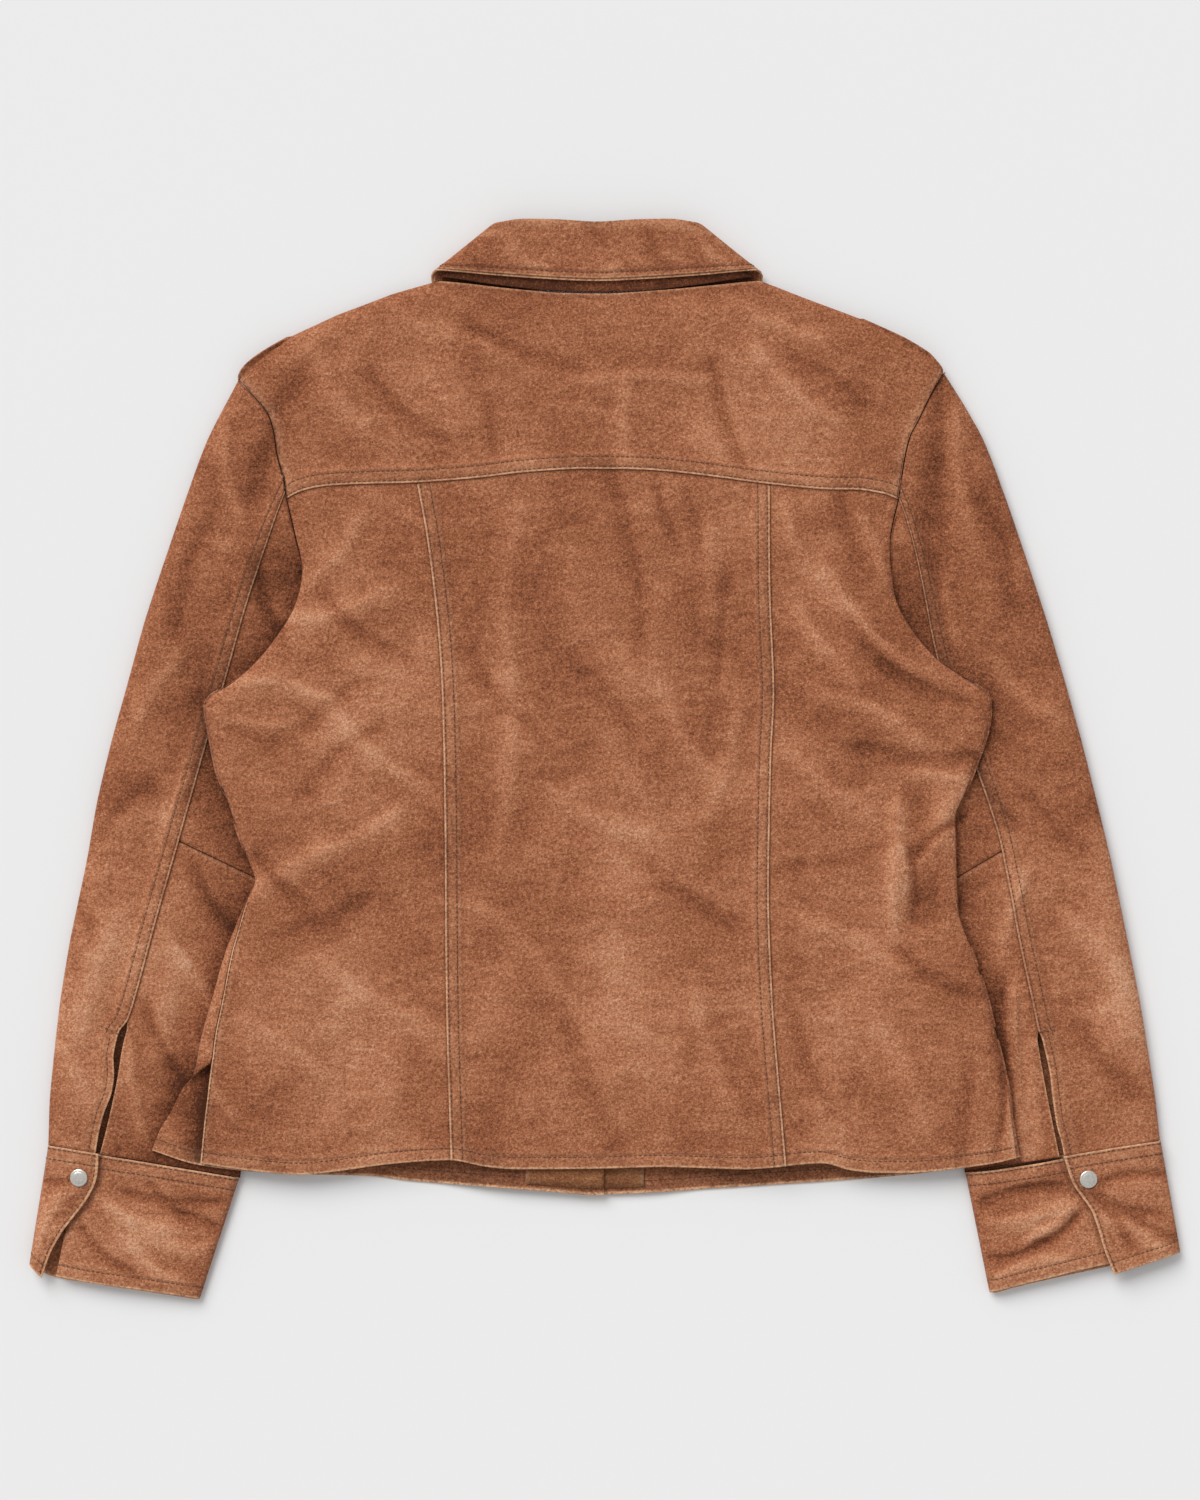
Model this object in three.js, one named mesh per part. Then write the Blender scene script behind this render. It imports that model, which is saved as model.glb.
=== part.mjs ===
// Suede jacket lying flat, front down, on a level surface, seen with its back up.
// Millimetres. X runs across the back, Y runs from hem to collar, Z is up from the surface.
// Each sewn piece is a closed wall: an outer skin found from the outline tables, and the
// same points moved in by the thickness of the suede.
import * as THREE from "three";

const WALL = 1.2; // suede thickness
const SEAM = 0.3; // space between two pieces at a seam
const LAYER = WALL + SEAM; // one more layer of suede on top of another
const HALF_GAP = SEAM / 2;
const ARMHOLE_GAP = 0.3; // each side of an armhole seam, where both edges curve
const SHOULDER_GAP = 0.15;

// Heights of the layers above the surface.
const SLEEVE_UNDER_BODY = 6.9; // top of a sleeve where the body lies on it
const SLEEVE_FREE = 11.2; // top of a sleeve beside the body, and of the armhole seam
const FRONT_OVER_SLEEVE = 7.6; // underside of the fronts where they lie on a sleeve
const BACK_HEIGHT = 12.6; // top of the back over the empty body
const BACK_OVER_SLEEVE = 2.4; // how much higher the back is over a sleeve
const BACK_AT_HEM = 11.2;
const BACK_AT_NECK = 10.6;
const CUFF_TOP = 11.2;
const SINK_AT_CUFF = 1.1; // the sleeve is this much flatter where it meets the cuff
const FLAP_LIFT = 0.9; // the splayed corner of the left front stands higher off the sleeve
const COVER_MARGIN = 5; // the body clears a sleeve's hidden edge by this much before it sinks
const SNAP_ROOM = 1.9; // the front band stands this high on its snap caps
const COLLAR_ROOM = 3.4; // the fronts stand this high on the folded collar ends

// How far the rounded edge of each fold reaches in from the outline.
const BODY_REACH = 12;
const SHOULDER_REACH = 14;
const SLEEVE_OUTER_REACH = 16;
const SLEEVE_INNER_REACH = 7;
const TIGHTEST = 1.35; // smallest radius of a fold's outer skin

const SHOULDER_TIP = { left: { x: -242, y: 249 }, right: { x: 224, y: 254.5 } };
const UNDERARM = { left: { x: -199.5, y: 124 }, right: { x: 192.5, y: 104 } };
const VENT_TOP_Y = -200.5;
const FLAP_TOP_Y = -211.5; // the left side's fold ends here, and the front's free corner begins
const HEM_Y = -268;
const YOKE_Y = 171.5;
const UNDERARM_CORNER_Y = 45;
const FRONT_EDGE = { left: -0.5, right: -26 };
const FACING_EDGE = { left: -52, right: 26 };
const NECK_CENTRE_X = -5;
const BAND_WIDTH = 58; // the snap band and the double layer of its facing

const SUEDE = { color: 0xa56c48, roughness: 0.92, metalness: 0 };
const SUEDE_INSIDE = { color: 0x8f5f40, roughness: 0.95, metalness: 0 };
const SNAP_METAL = { color: 0xc9c6c0, roughness: 0.3, metalness: 0.9 };

// Outline of the body on each side, from the shoulder tip down: armhole seam as far as the
// underarm, side fold below it.
const BODY_EDGE = {
  left: [
    { y: 249, x: -242 }, { y: 236.5, x: -230 }, { y: 226.5, x: -222 }, { y: 213.5, x: -218 },
    { y: 199.5, x: -216 }, { y: 183, x: -211.5 }, { y: 170, x: -209.5 }, { y: 143.5, x: -203.5 },
    { y: 124, x: -199.5 }, { y: 100, x: -204.5 }, { y: 81.5, x: -215 }, { y: 63, x: -230 },
    { y: 50, x: -245 }, { y: 39.5, x: -261.5 }, { y: 33, x: -263.5 }, { y: 10, x: -259.5 },
    { y: -8, x: -256 }, { y: -29.5, x: -248 }, { y: -52.5, x: -240.5 }, { y: -69.5, x: -234 },
    { y: -81, x: -230.5 }, { y: -93.5, x: -236 }, { y: -114, x: -244.5 }, { y: -131, x: -251 },
    { y: -159.5, x: -259 }, { y: -186, x: -266.5 }, { y: -200.5, x: -269 }, { y: -211.5, x: -272 },
  ],
  right: [
    { y: 254.5, x: 224 }, { y: 240.5, x: 216 }, { y: 222, x: 207 }, { y: 211.5, x: 201.5 },
    { y: 194, x: 197.5 }, { y: 171, x: 194 }, { y: 155.5, x: 190.5 }, { y: 142, x: 188.5 },
    { y: 122, x: 189.5 }, { y: 104, x: 192.5 }, { y: 87, x: 201 }, { y: 64.5, x: 219.5 },
    { y: 52, x: 238 }, { y: 43, x: 252 }, { y: 33, x: 254.5 }, { y: 17, x: 252.5 },
    { y: -5.5, x: 245 }, { y: -25, x: 237 }, { y: -38, x: 231.5 }, { y: -60, x: 232 },
    { y: -81, x: 232.5 }, { y: -104.5, x: 234 }, { y: -122.5, x: 240.5 }, { y: -140, x: 246.5 },
    { y: -157, x: 252 }, { y: -182, x: 258 }, { y: -213.5, x: 265.5 }, { y: -239, x: 269.5 },
    { y: -263.5, x: 273 },
  ],
};
// The left vent is open below its top: the front splays out, the back stays in.
const VENT_FRONT_EDGE = [
  { y: -211.5, x: -272 }, { y: -218, x: -278 }, { y: -235.5, x: -286 }, { y: -248, x: -292.5 },
  { y: -262, x: -297 }, { y: -270, x: -299 },
];
// How far in from the fold the side seam shows on the back.
const SIDE_SEAM_INSET = {
  left: [
    { y: 124, inset: 0.08 }, { y: -80, inset: 0.08 }, { y: -96, inset: 0.6 }, { y: -106, inset: 1.8 },
    { y: -135, inset: 5 }, { y: -170, inset: 8 }, { y: -200.5, inset: 10 }, { y: -204, inset: 6 },
    { y: -208, inset: 2 }, { y: -211.5, inset: 0.3 }, { y: -400, inset: 0.3 },
  ],
  right: [
    { y: 104, inset: 0.08 }, { y: -205, inset: 0.08 }, { y: -225, inset: 0.6 },
    { y: -270, inset: 1.6 }, { y: -400, inset: 1.6 },
  ],
};
const BACK_VENT_EDGE = [
  { y: -200.5, x: -258.6 }, { y: -225, x: -261.5 }, { y: -240, x: -263.5 }, { y: -270, x: -266.5 },
];

// Lines across the body, in x from left to right.
const BACK_HEM = [
  { x: -266.5, y: -267.5 }, { x: -241, y: -271.5 }, { x: -201.5, y: -275 }, { x: -178, y: -273 },
  { x: -141.5, y: -268 }, { x: -100.5, y: -265.5 }, { x: -80, y: -269.5 }, { x: -58, y: -271.5 },
  { x: 0, y: -271 }, { x: 38, y: -270 }, { x: 94, y: -271.5 }, { x: 144, y: -267.5 },
  { x: 161.5, y: -272 }, { x: 181, y: -274 }, { x: 210, y: -273.5 }, { x: 256.5, y: -267.5 },
  { x: 273, y: -263.5 },
];
const FRONT_HEM = [
  { x: -299, y: -259 }, { x: -267, y: -269 }, { x: -201.5, y: -275.5 }, { x: -153.5, y: -277 },
  { x: -129.5, y: -280 }, { x: -81.5, y: -283.5 }, { x: -33.5, y: -287 }, { x: -7.5, y: -289 },
  { x: 26, y: -288 }, { x: 74, y: -285 }, { x: 152, y: -280 }, { x: 200.5, y: -276 },
  { x: 234.5, y: -270.5 }, { x: 273, y: -263.5 },
];
const YOKE_SEAM = [
  { x: -209.8, y: 171.5 }, { x: -199, y: 176.5 }, { x: -185, y: 179.5 }, { x: -160, y: 181 },
  { x: -125, y: 182 }, { x: -84.5, y: 185 }, { x: -54.5, y: 188.5 },
  { x: -15, y: 191 }, { x: 25, y: 190.5 }, { x: 58.5, y: 187.5 }, { x: 104, y: 181.5 },
  { x: 145, y: 177.5 }, { x: 166, y: 177.3 }, { x: 184, y: 174.5 }, { x: 194, y: 171 },
];
// Columns of the yoke: where each starts on the yoke seam and ends on the shoulder or neck.
const YOKE_TOP = [
  { seam: -209.8, x: -242, y: 249 }, { seam: -203.5, x: -235, y: 256 }, { seam: -196, x: -227, y: 263.5 },
  { seam: -178, x: -205, y: 279 }, { seam: -155, x: -176, y: 292.5 }, { seam: -130, x: -140, y: 306 },
  { seam: -108, x: -110, y: 314.5 },
  { seam: -70, x: -69, y: 310 }, { seam: -32, x: -30, y: 306.5 }, { seam: 5, x: 2, y: 306 },
  { seam: 42, x: 40, y: 308.5 }, { seam: 76, x: 72, y: 311.5 }, { seam: 104, x: 103, y: 314.5 },
  { seam: 130, x: 130, y: 304 }, { seam: 155, x: 165, y: 291 }, { seam: 177, x: 194, y: 276.5 },
  { seam: 187, x: 210, y: 266.5 }, { seam: 194, x: 224, y: 254.5 },
];
const BACK_SEAM = {
  left: [
    { y: 182, x: -123 }, { y: 150, x: -117 }, { y: 109, x: -111.5 }, { y: 72.5, x: -108 },
    { y: 35, x: -106 }, { y: -40, x: -104.5 }, { y: -160, x: -103.5 }, { y: -266, x: -100.5 },
  ],
  right: [
    { y: 182, x: 108 }, { y: 109, x: 108.5 }, { y: 42, x: 111 }, { y: -2, x: 109 },
    { y: -94, x: 107.5 }, { y: -160, x: 110 }, { y: -200, x: 113 }, { y: -269, x: 119 },
  ],
};
// Rows of a front above the underarm: place on the armhole, place on front edge or neckline,
// given as the distance from the middle of the neck.
const FRONT_TOP_ROWS = [
  { arm: 0.053, edge: 5, y: 136 }, { arm: 0.16, edge: 5, y: 155 }, { arm: 0.28, edge: 5, y: 178 },
  { arm: 0.48, edge: 5, y: 212 }, { arm: 0.68, edge: 8, y: 233 }, { arm: 0.88, edge: 52, y: 250 },
  { arm: 0.9645, edge: 86, y: 276 }, { arm: 1, edge: 104, y: 308 },
];
const BODY_ROWS = [
  -268, -252, -236, -218, -200.5, -175, -150, -125, -104, -84, -62, -36, -8, 16, 30, 38, 44, 51, 60, 75, 92,
  108,
];

// Sleeves, from the shoulder tip or the underarm down to the cuff.
const SLEEVE_OUTER = {
  left: [
    { y: 249, x: -242 }, { y: 209.5, x: -262.5 }, { y: 170, x: -277 }, { y: 130.5, x: -290.5 },
    { y: 91, x: -303.5 }, { y: 51, x: -314.5 }, { y: 11.5, x: -325.5 }, { y: -28, x: -335 },
    { y: -67.5, x: -342 }, { y: -120.5, x: -353 }, { y: -160, x: -359.5 }, { y: -199.5, x: -364 },
    { y: -226, x: -366.5 }, { y: -256, x: -367.5 },
  ],
  right: [
    { y: 254.5, x: 224 }, { y: 232, x: 238 }, { y: 209.5, x: 250.5 }, { y: 170, x: 265.5 },
    { y: 130.5, x: 279 }, { y: 91, x: 292 }, { y: 51, x: 304 }, { y: 11.5, x: 315 },
    { y: -28, x: 325 }, { y: -67.5, x: 334.5 }, { y: -120.5, x: 345.5 }, { y: -160, x: 353.5 },
    { y: -199.5, x: 360 }, { y: -226, x: 364 }, { y: -253, x: 367 },
  ],
};
const SLEEVE_INNER = {
  left: [
    { y: 124, x: -199.5 }, { y: 91, x: -186.5 }, { y: 51, x: -176 }, { y: 11.5, x: -171.5 },
    { y: -28, x: -175 }, { y: -94, x: -193.5 }, { y: -160, x: -217.5 }, { y: -219.5, x: -230 },
    { y: -277.5, x: -241 },
  ],
  right: [
    { y: 104, x: 192.5 }, { y: 71, x: 180.5 }, { y: 38, x: 168.5 }, { y: 5, x: 163.5 },
    { y: -34.5, x: 167 }, { y: -94, x: 188 }, { y: -160, x: 211.5 }, { y: -219.5, x: 225 },
    { y: -274, x: 238.5 },
  ],
};
// Seam down the back of each sleeve; its last stretch is the open slit above the cuff.
const SLEEVE_BACK_SEAM = {
  left: [
    { y: 176, x: -210.5 }, { y: 153.5, x: -219 }, { y: 103.5, x: -236 }, { y: 46, x: -252.5 },
    { y: 16.5, x: -261.5 }, { y: -50, x: -280 }, { y: -110, x: -297 }, { y: -161.5, x: -311 },
    { y: -185, x: -319 }, { y: -213.5, x: -324 }, { y: -238.5, x: -329.5 }, { y: -262, x: -335.5 },
  ],
  right: [
    { y: 176, x: 192.5 }, { y: 155.5, x: 200 }, { y: 120, x: 209 }, { y: 68.5, x: 219.5 },
    { y: 28, x: 231.5 }, { y: -5.5, x: 245.5 }, { y: -49.5, x: 260 }, { y: -81, x: 266.5 },
    { y: -122.5, x: 274.5 }, { y: -179, x: 286.5 }, { y: -217.5, x: 293.5 }, { y: -262, x: 302.5 },
  ],
};
const ELBOW_AT = 0.55; // share of the sleeve's length above the seam across its under part
const SLIT_AT = 0.86;
const SLIT_WIDTH = 2.2;
const SLEEVE_ROWS = [
  0, 0.04, 0.1, 0.17, 0.25, 0.33, 0.41, 0.48, 0.55, 0.63, 0.71, 0.79, 0.86, 0.93, 1,
];
const FRONT_SEAM_AT = 0.72; // hidden seam on the lower side, as a share of the way across

// Sections round each cuff, from the end on top, over the outer fold, along the lower side and
// the inner fold to the end tucked under it. Upper end and lower end, with the skin's height.
const CUFF_SECTIONS = {
  left: [
    { x: -333.5, y: -262.2, x2: -371, y2: -343, z: 11.2 },
    { x: -341, y: -260.9, x2: -373.5, y2: -341, z: 11.2 },
    { x: -352, y: -259.1, x2: -376, y2: -338.5, z: 10.8 },
    { x: -362, y: -257.4, x2: -378.6, y2: -336, z: 9.2 },
    { x: -367.5, y: -256.6, x2: -380, y2: -334.5, z: 5.4 },
    { x: -362, y: -257.4, x2: -377, y2: -337, z: 1.4 },
    { x: -350, y: -259.3, x2: -366, y2: -343, z: 0 },
    { x: -318, y: -265.5, x2: -336, y2: -348.5, z: 0 },
    { x: -286, y: -271, x2: -306, y2: -353, z: 0 },
    { x: -256, y: -276, x2: -279, y2: -357, z: 0 },
    { x: -245, y: -277.8, x2: -270, y2: -358.4, z: 0.9 },
    { x: -241, y: -278.3, x2: -267.5, y2: -358.2, z: 3.6 },
    { x: -245, y: -277.8, x2: -270, y2: -357.2, z: 6.3 },
    { x: -258, y: -275.6, x2: -281, y2: -355.3, z: 7.4 },
    { x: -290, y: -270.3, x2: -310, y2: -351, z: 8 },
    { x: -320, y: -265.2, x2: -338, y2: -347, z: 8.4 },
    { x: -345, y: -261, x2: -362, y2: -342.5, z: 8.4 },
  ],
  right: [
    { x: 302.5, y: -264, x2: 336, y2: -341, z: 11.2 },
    { x: 314, y: -262, x2: 343, y2: -338.6, z: 11.2 },
    { x: 334, y: -258.6, x2: 356, y2: -334.4, z: 10.9 },
    { x: 356, y: -255.2, x2: 373, y2: -329, z: 9.4 },
    { x: 367.5, y: -253.6, x2: 380.5, y2: -326.5, z: 5.4 },
    { x: 361, y: -254.6, x2: 375, y2: -327.5, z: 1.4 },
    { x: 346, y: -257, x2: 360, y2: -331, z: 0 },
    { x: 318, y: -261.6, x2: 330, y2: -337.5, z: 0 },
    { x: 288, y: -266.4, x2: 300, y2: -344, z: 0 },
    { x: 256, y: -271.5, x2: 270, y2: -351, z: 0 },
    { x: 244, y: -273.6, x2: 259, y2: -354, z: 0.9 },
    { x: 238.5, y: -275, x2: 254.5, y2: -353.5, z: 3.6 },
    { x: 243, y: -274.6, x2: 258, y2: -352.6, z: 6.3 },
    { x: 256, y: -273.4, x2: 268, y2: -350, z: 7.4 },
    { x: 280, y: -269.8, x2: 294, y2: -343.4, z: 8 },
    { x: 304, y: -265.4, x2: 322, y2: -336.5, z: 8.4 },
    { x: 330, y: -261, x2: 348, y2: -331, z: 8.4 },
  ],
};
const CUFF_ACROSS = [0, 0.34, 0.67, 1];
const CUFF_DROP = 0.45; // the sleeve's last row stays this far above the cuff's first

// Collar on one side, from the middle of the back to the front end, in distances from the
// middle of the neck: the stand's neck edge, the fold at its top, and the fall's outer edge.
const COLLAR_SECTIONS = [
  { neck: 0, neckY: 307, neckZ: 10.8, top: 0, topY: 351, topZ: 11.6, edge: 0, edgeY: 314 },
  { neck: 34, neckY: 308, neckZ: 10.8, top: 26, topY: 352.5, topZ: 11.6, edge: 35, edgeY: 315.5 },
  { neck: 68, neckY: 311.8, neckZ: 10.8, top: 50, topY: 353, topZ: 11.6, edge: 70, edgeY: 318 },
  { neck: 92, neckY: 315.5, neckZ: 10.4, top: 62, topY: 351.5, topZ: 11, edge: 95, edgeY: 320 },
  { neck: 102, neckY: 317.2, neckZ: 8.6, top: 67.5, topY: 349, topZ: 9, edge: 106, edgeY: 319 },
  { neck: 103, neckY: 316.8, neckZ: 6.2, top: 68, topY: 346, topZ: 6.5, edge: 108.5, edgeY: 316 },
  { neck: 100.5, neckY: 311, neckZ: 4.1, top: 65.5, topY: 342, topZ: 4.3, edge: 107.5, edgeY: 307 },
  { neck: 92.5, neckY: 295, neckZ: 3.3, top: 59, topY: 331, topZ: 3.3, edge: 103, edgeY: 286 },
  { neck: 73, neckY: 270.5, neckZ: 3.2, top: 47, topY: 313, topZ: 3.2, edge: 93, edgeY: 256 },
  { neck: 42, neckY: 252, neckZ: 3.2, top: 30, topY: 298, topZ: 3.2, edge: 75, edgeY: 228 },
  { neck: 8, neckY: 243, neckZ: 3.2, top: 8, topY: 286, topZ: 3.2, edge: 54, edgeY: 204 },
];
const COLLAR_ROLL = 1.6; // radius of the fold at the top of the collar
const COLLAR_STAND_ACROSS = [0, 0.35, 0.7, 1];
const COLLAR_FALL_ACROSS = [0.02, 0.25, 0.5, 0.78, 1];

// Largest soft folds: a ridge (height above zero) or trough between two points.
const BACK_FOLDS = [
  { x: 230, y: -34, x2: 200, y2: -75, height: 3, width: 10 },
  { x: 194, y: -40, x2: 193, y2: -94, height: 2.6, width: 8 },
  { x: 206, y: -30, x2: 214, y2: -100, height: -2, width: 9 },
  { x: -226, y: -84, x2: -190, y2: -66, height: 2.4, width: 9 },
  { x: -220, y: -70, x2: -196, y2: -100, height: -1.6, width: 9 },
  { x: -196, y: 253, x2: -214, y2: 236, height: -2, width: 9 },
  { x: 157, y: 169, x2: 167, y2: 130, height: -1.4, width: 8 },
  { x: 69, y: 146, x2: 72, y2: 94, height: 1.4, width: 7 },
  { x: -150, y: -272, x2: -146, y2: -222, height: 1.8, width: 14 },
  { x: 150, y: -268, x2: 146, y2: -226, height: 1.6, width: 12 },
  { x: -76, y: -270, x2: -74, y2: -240, height: -1.4, width: 10 },
  { x: 20, y: 120, x2: 12, y2: -150, height: 1.2, width: 34 },
];
const SLEEVE_FOLDS = [
  { x: -220, y: 211, x2: -231, y2: 172, height: -2, width: 8 },
  { x: -330, y: -120, x2: -344, y2: -176, height: 1.6, width: 9 },
  { x: -286, y: -150, x2: -300, y2: -226, height: 1.4, width: 10 },
  { x: 222, y: 240, x2: 216, y2: 150, height: -2.2, width: 9 },
  { x: 216, y: 150, x2: 228, y2: 76, height: -1.8, width: 9 },
  { x: 270, y: -150, x2: 278, y2: -262, height: 1.8, width: 8 },
  { x: 330, y: -60, x2: 344, y2: -170, height: 1.3, width: 12 },
];

const FRONT_SNAPS = [176, 92, 8, -76, -160, -244];
const CUFF_SNAPS = { left: { x: -346.5, y: -277 }, right: { x: 319, y: -278 } };
const SNAP_RADIUS = 5.9;
const SNAP_RISE = 1.5;

const clamp = (value, low, high) => Math.min(high, Math.max(low, value));
const mix = (a, b, share) => a + (b - a) * share;
const soften = (share) => {
  const t = clamp(share, 0, 1);
  return t * t * (3 - 2 * t);
};
const radians = (degrees) => (degrees * Math.PI) / 180;

// Smooth reading of a table: value of one column where another column has a given value.
function read(table, key, at, column) {
  const rising = table[table.length - 1][key] > table[0][key];
  const rows = rising ? table : [...table].reverse();
  const last = rows.length - 1;
  let i = 0;
  while (i < last - 1 && at > rows[i + 1][key]) i += 1;
  const a = rows[i];
  const b = rows[i + 1];
  const span = b[key] - a[key];
  const slope = (j) => {
    const before = rows[Math.max(j - 1, 0)];
    const after = rows[Math.min(j + 1, last)];
    return (after[column] - before[column]) / (after[key] - before[key]);
  };
  const chord = (b[column] - a[column]) / span;
  const steepest = 3 * Math.abs(chord);
  const limit = (m) => (m * chord <= 0 ? 0 : Math.sign(chord) * Math.min(Math.abs(m), steepest));
  const t = (at - a[key]) / span;
  if (t < 0) return a[column] + chord * span * t;
  if (t > 1) return b[column] + chord * span * (t - 1);
  const m0 = limit(slope(i)) * span;
  const m1 = limit(slope(i + 1)) * span;
  const t2 = t * t;
  const t3 = t2 * t;
  const fromValues = (2 * t3 - 3 * t2 + 1) * a[column] + (3 * t2 - 2 * t3) * b[column];
  return fromValues + (t3 - 2 * t2 + t) * m0 + (t3 - t2) * m1;
}

// Height in Y of a line of straight stretches, ordered in x.
function lineY(line, x) {
  let i = 0;
  while (i < line.length - 2 && x > line[i + 1].x) i += 1;
  return mix(line[i].y, line[i + 1].y, (x - line[i].x) / (line[i + 1].x - line[i].x));
}

// Nearest point of a line of points: distance, the point, and the way across the line.
function nearest(line, x, y) {
  let best = null;
  for (let i = 0; i + 1 < line.length; i += 1) {
    const dx = line[i + 1].x - line[i].x;
    const dy = line[i + 1].y - line[i].y;
    const length2 = dx * dx + dy * dy;
    const t = clamp(((x - line[i].x) * dx + (y - line[i].y) * dy) / length2, 0, 1);
    const px = line[i].x + dx * t;
    const py = line[i].y + dy * t;
    const distance = Math.hypot(x - px, y - py);
    if (!best || distance < best.distance) {
      const length = Math.sqrt(length2);
      best = { distance, x: px, y: py, acrossX: -dy / length, acrossY: dx / length };
    }
  }
  return best;
}

function foldHeight(folds, x, y) {
  let height = 0;
  for (const fold of folds) {
    const dx = fold.x2 - fold.x;
    const dy = fold.y2 - fold.y;
    const length = Math.hypot(dx, dy);
    const along = ((x - fold.x) * dx + (y - fold.y) * dy) / length;
    const across = ((x - fold.x) * dy - (y - fold.y) * dx) / length;
    const past = Math.max(0, -along, along - length);
    const spread = (across / fold.width) ** 2 + (past / (1.6 * fold.width)) ** 2;
    height += fold.height * Math.exp(-spread);
  }
  return height;
}

const bodyEdgeX = (side, y) => read(BODY_EDGE[side], "y", y, "x");
const above = (side) => BODY_EDGE[side].filter((row) => row.y >= UNDERARM[side].y);
const below = (side) => BODY_EDGE[side].filter((row) => row.y <= UNDERARM[side].y);
const ARMHOLE = { left: above("left"), right: above("right") };
const SIDE_FOLD = { left: below("left"), right: below("right") };
const COVER_EDGE = { left: [...below("left"), ...VENT_FRONT_EDGE.slice(1)], right: below("right") };
const SHOULDER = {
  left: YOKE_TOP.slice(0, 7),
  right: YOKE_TOP.slice(12),
};
const NECK_SEAM = YOKE_TOP.slice(6, 13);

// Distance past the body's edge, or 0 under the body.
function outsideBody(side, x, y) {
  const sign = side === "left" ? -1 : 1;
  const flap = side === "left" && y < FLAP_TOP_Y;
  const edge = flap ? read(VENT_FRONT_EDGE, "y", y, "x") : bodyEdgeX(side, y);
  if (y < UNDERARM[side].y && sign * (x - edge) < 0) return 0;
  return nearest(COVER_EDGE[side], x, y).distance;
}

// 1 where the body lies on a sleeve, falling to 0 beside it.
function sleeveCover(side, x, y, reach) {
  const sign = side === "left" ? -1 : 1;
  const inner = read(SLEEVE_INNER[side], "y", Math.max(y, -300), "x");
  if (y < UNDERARM[side].y && sign * (x - inner) > 0) return 1;
  return 1 - soften((nearest(SLEEVE_INNER[side], x, y).distance - COVER_MARGIN) / reach);
}

function backTop(x, y) {
  const cover = Math.max(sleeveCover("left", x, y, 60), sleeveCover("right", x, y, 60));
  const open = mix(BACK_HEIGHT, BACK_HEIGHT + BACK_OVER_SLEEVE, cover) + foldHeight(BACK_FOLDS, x, y);
  const hem = mix(open, BACK_AT_HEM + cover, 1 - soften((y + 272) / 60));
  const arm = Math.min(nearest(ARMHOLE.left, x, y).distance, nearest(ARMHOLE.right, x, y).distance);
  const joined = mix(hem, SLEEVE_FREE, Math.exp(-arm / 15));
  return mix(joined, BACK_AT_NECK, Math.exp(-nearest(NECK_SEAM, x, y).distance / 22));
}

// Height of a front's outer skin. The left front is on top where the two lap at the snaps.
function frontBottom(x, y, onTop) {
  const cover = Math.max(sleeveCover("left", x, y, 38), sleeveCover("right", x, y, 38));
  const nearNeck = 1 - soften((220 - y) / 45);
  const besideNeck = 1 - soften((Math.abs(x - NECK_CENTRE_X) - 118) / 40);
  const collar = COLLAR_ROOM * nearNeck * besideNeck;
  const lap = Math.max(SNAP_ROOM, collar) + 2 * LAYER;
  const band = onTop ? lap * soften((x + 118) / 60) : SNAP_ROOM * (1 - soften((x - 30) / 36));
  const flap = onTop ? FLAP_LIFT * soften((-262 - x) / 16) * soften((-200 - y) / 12) : 0;
  return Math.max(FRONT_OVER_SLEEVE * cover + flap, collar, band);
}
const leftFrontBottom = (x, y) => frontBottom(x, y, true);
const rightFrontBottom = (x, y) => frontBottom(x, y, false);

const sleeveTop = (side) => (x, y) => {
  const free = outsideBody(side, x, y);
  const fold = foldHeight(SLEEVE_FOLDS, x, y) * soften(free / 30);
  const cuff = SINK_AT_CUFF * (1 - soften((y + 262) / 50));
  return mix(SLEEVE_UNDER_BODY, SLEEVE_FREE - cuff, soften(free / 42)) + fold;
};
const flat = () => 0;

// A flattened tube: its upper and lower heights and the folds that close it.
const across = (side) => (side === "left" ? -1 : 1);
const bodyFolds = [
  { line: SIDE_FOLD.left, face: -1, reach: BODY_REACH },
  { line: SIDE_FOLD.right, face: 1, reach: BODY_REACH },
  { line: SHOULDER.left, face: 1, reach: SHOULDER_REACH },
  { line: SHOULDER.right, face: 1, reach: SHOULDER_REACH },
];
const LEFT_BODY = { top: backTop, bottom: leftFrontBottom, folds: bodyFolds };
const RIGHT_BODY = { top: backTop, bottom: rightFrontBottom, folds: bodyFolds };
const sleeveTube = (side) => ({
  top: sleeveTop(side),
  bottom: flat,
  folds: [
    { line: SLEEVE_OUTER[side], face: across(side), reach: SLEEVE_OUTER_REACH },
    { line: SLEEVE_INNER[side], face: -across(side), reach: SLEEVE_INNER_REACH },
  ],
});
const SLEEVE_TUBE = { left: sleeveTube("left"), right: sleeveTube("right") };

// Middle height of a fold, and how far in its round edge reaches there.
function roundFold(tube, fold, x, y) {
  const top = tube.top(x, y);
  const bottom = tube.bottom(x, y);
  const half = (top - bottom) / 2;
  return { middle: (top + bottom) / 2, reach: Math.min(fold.reach, (half * half) / TIGHTEST) };
}

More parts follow.
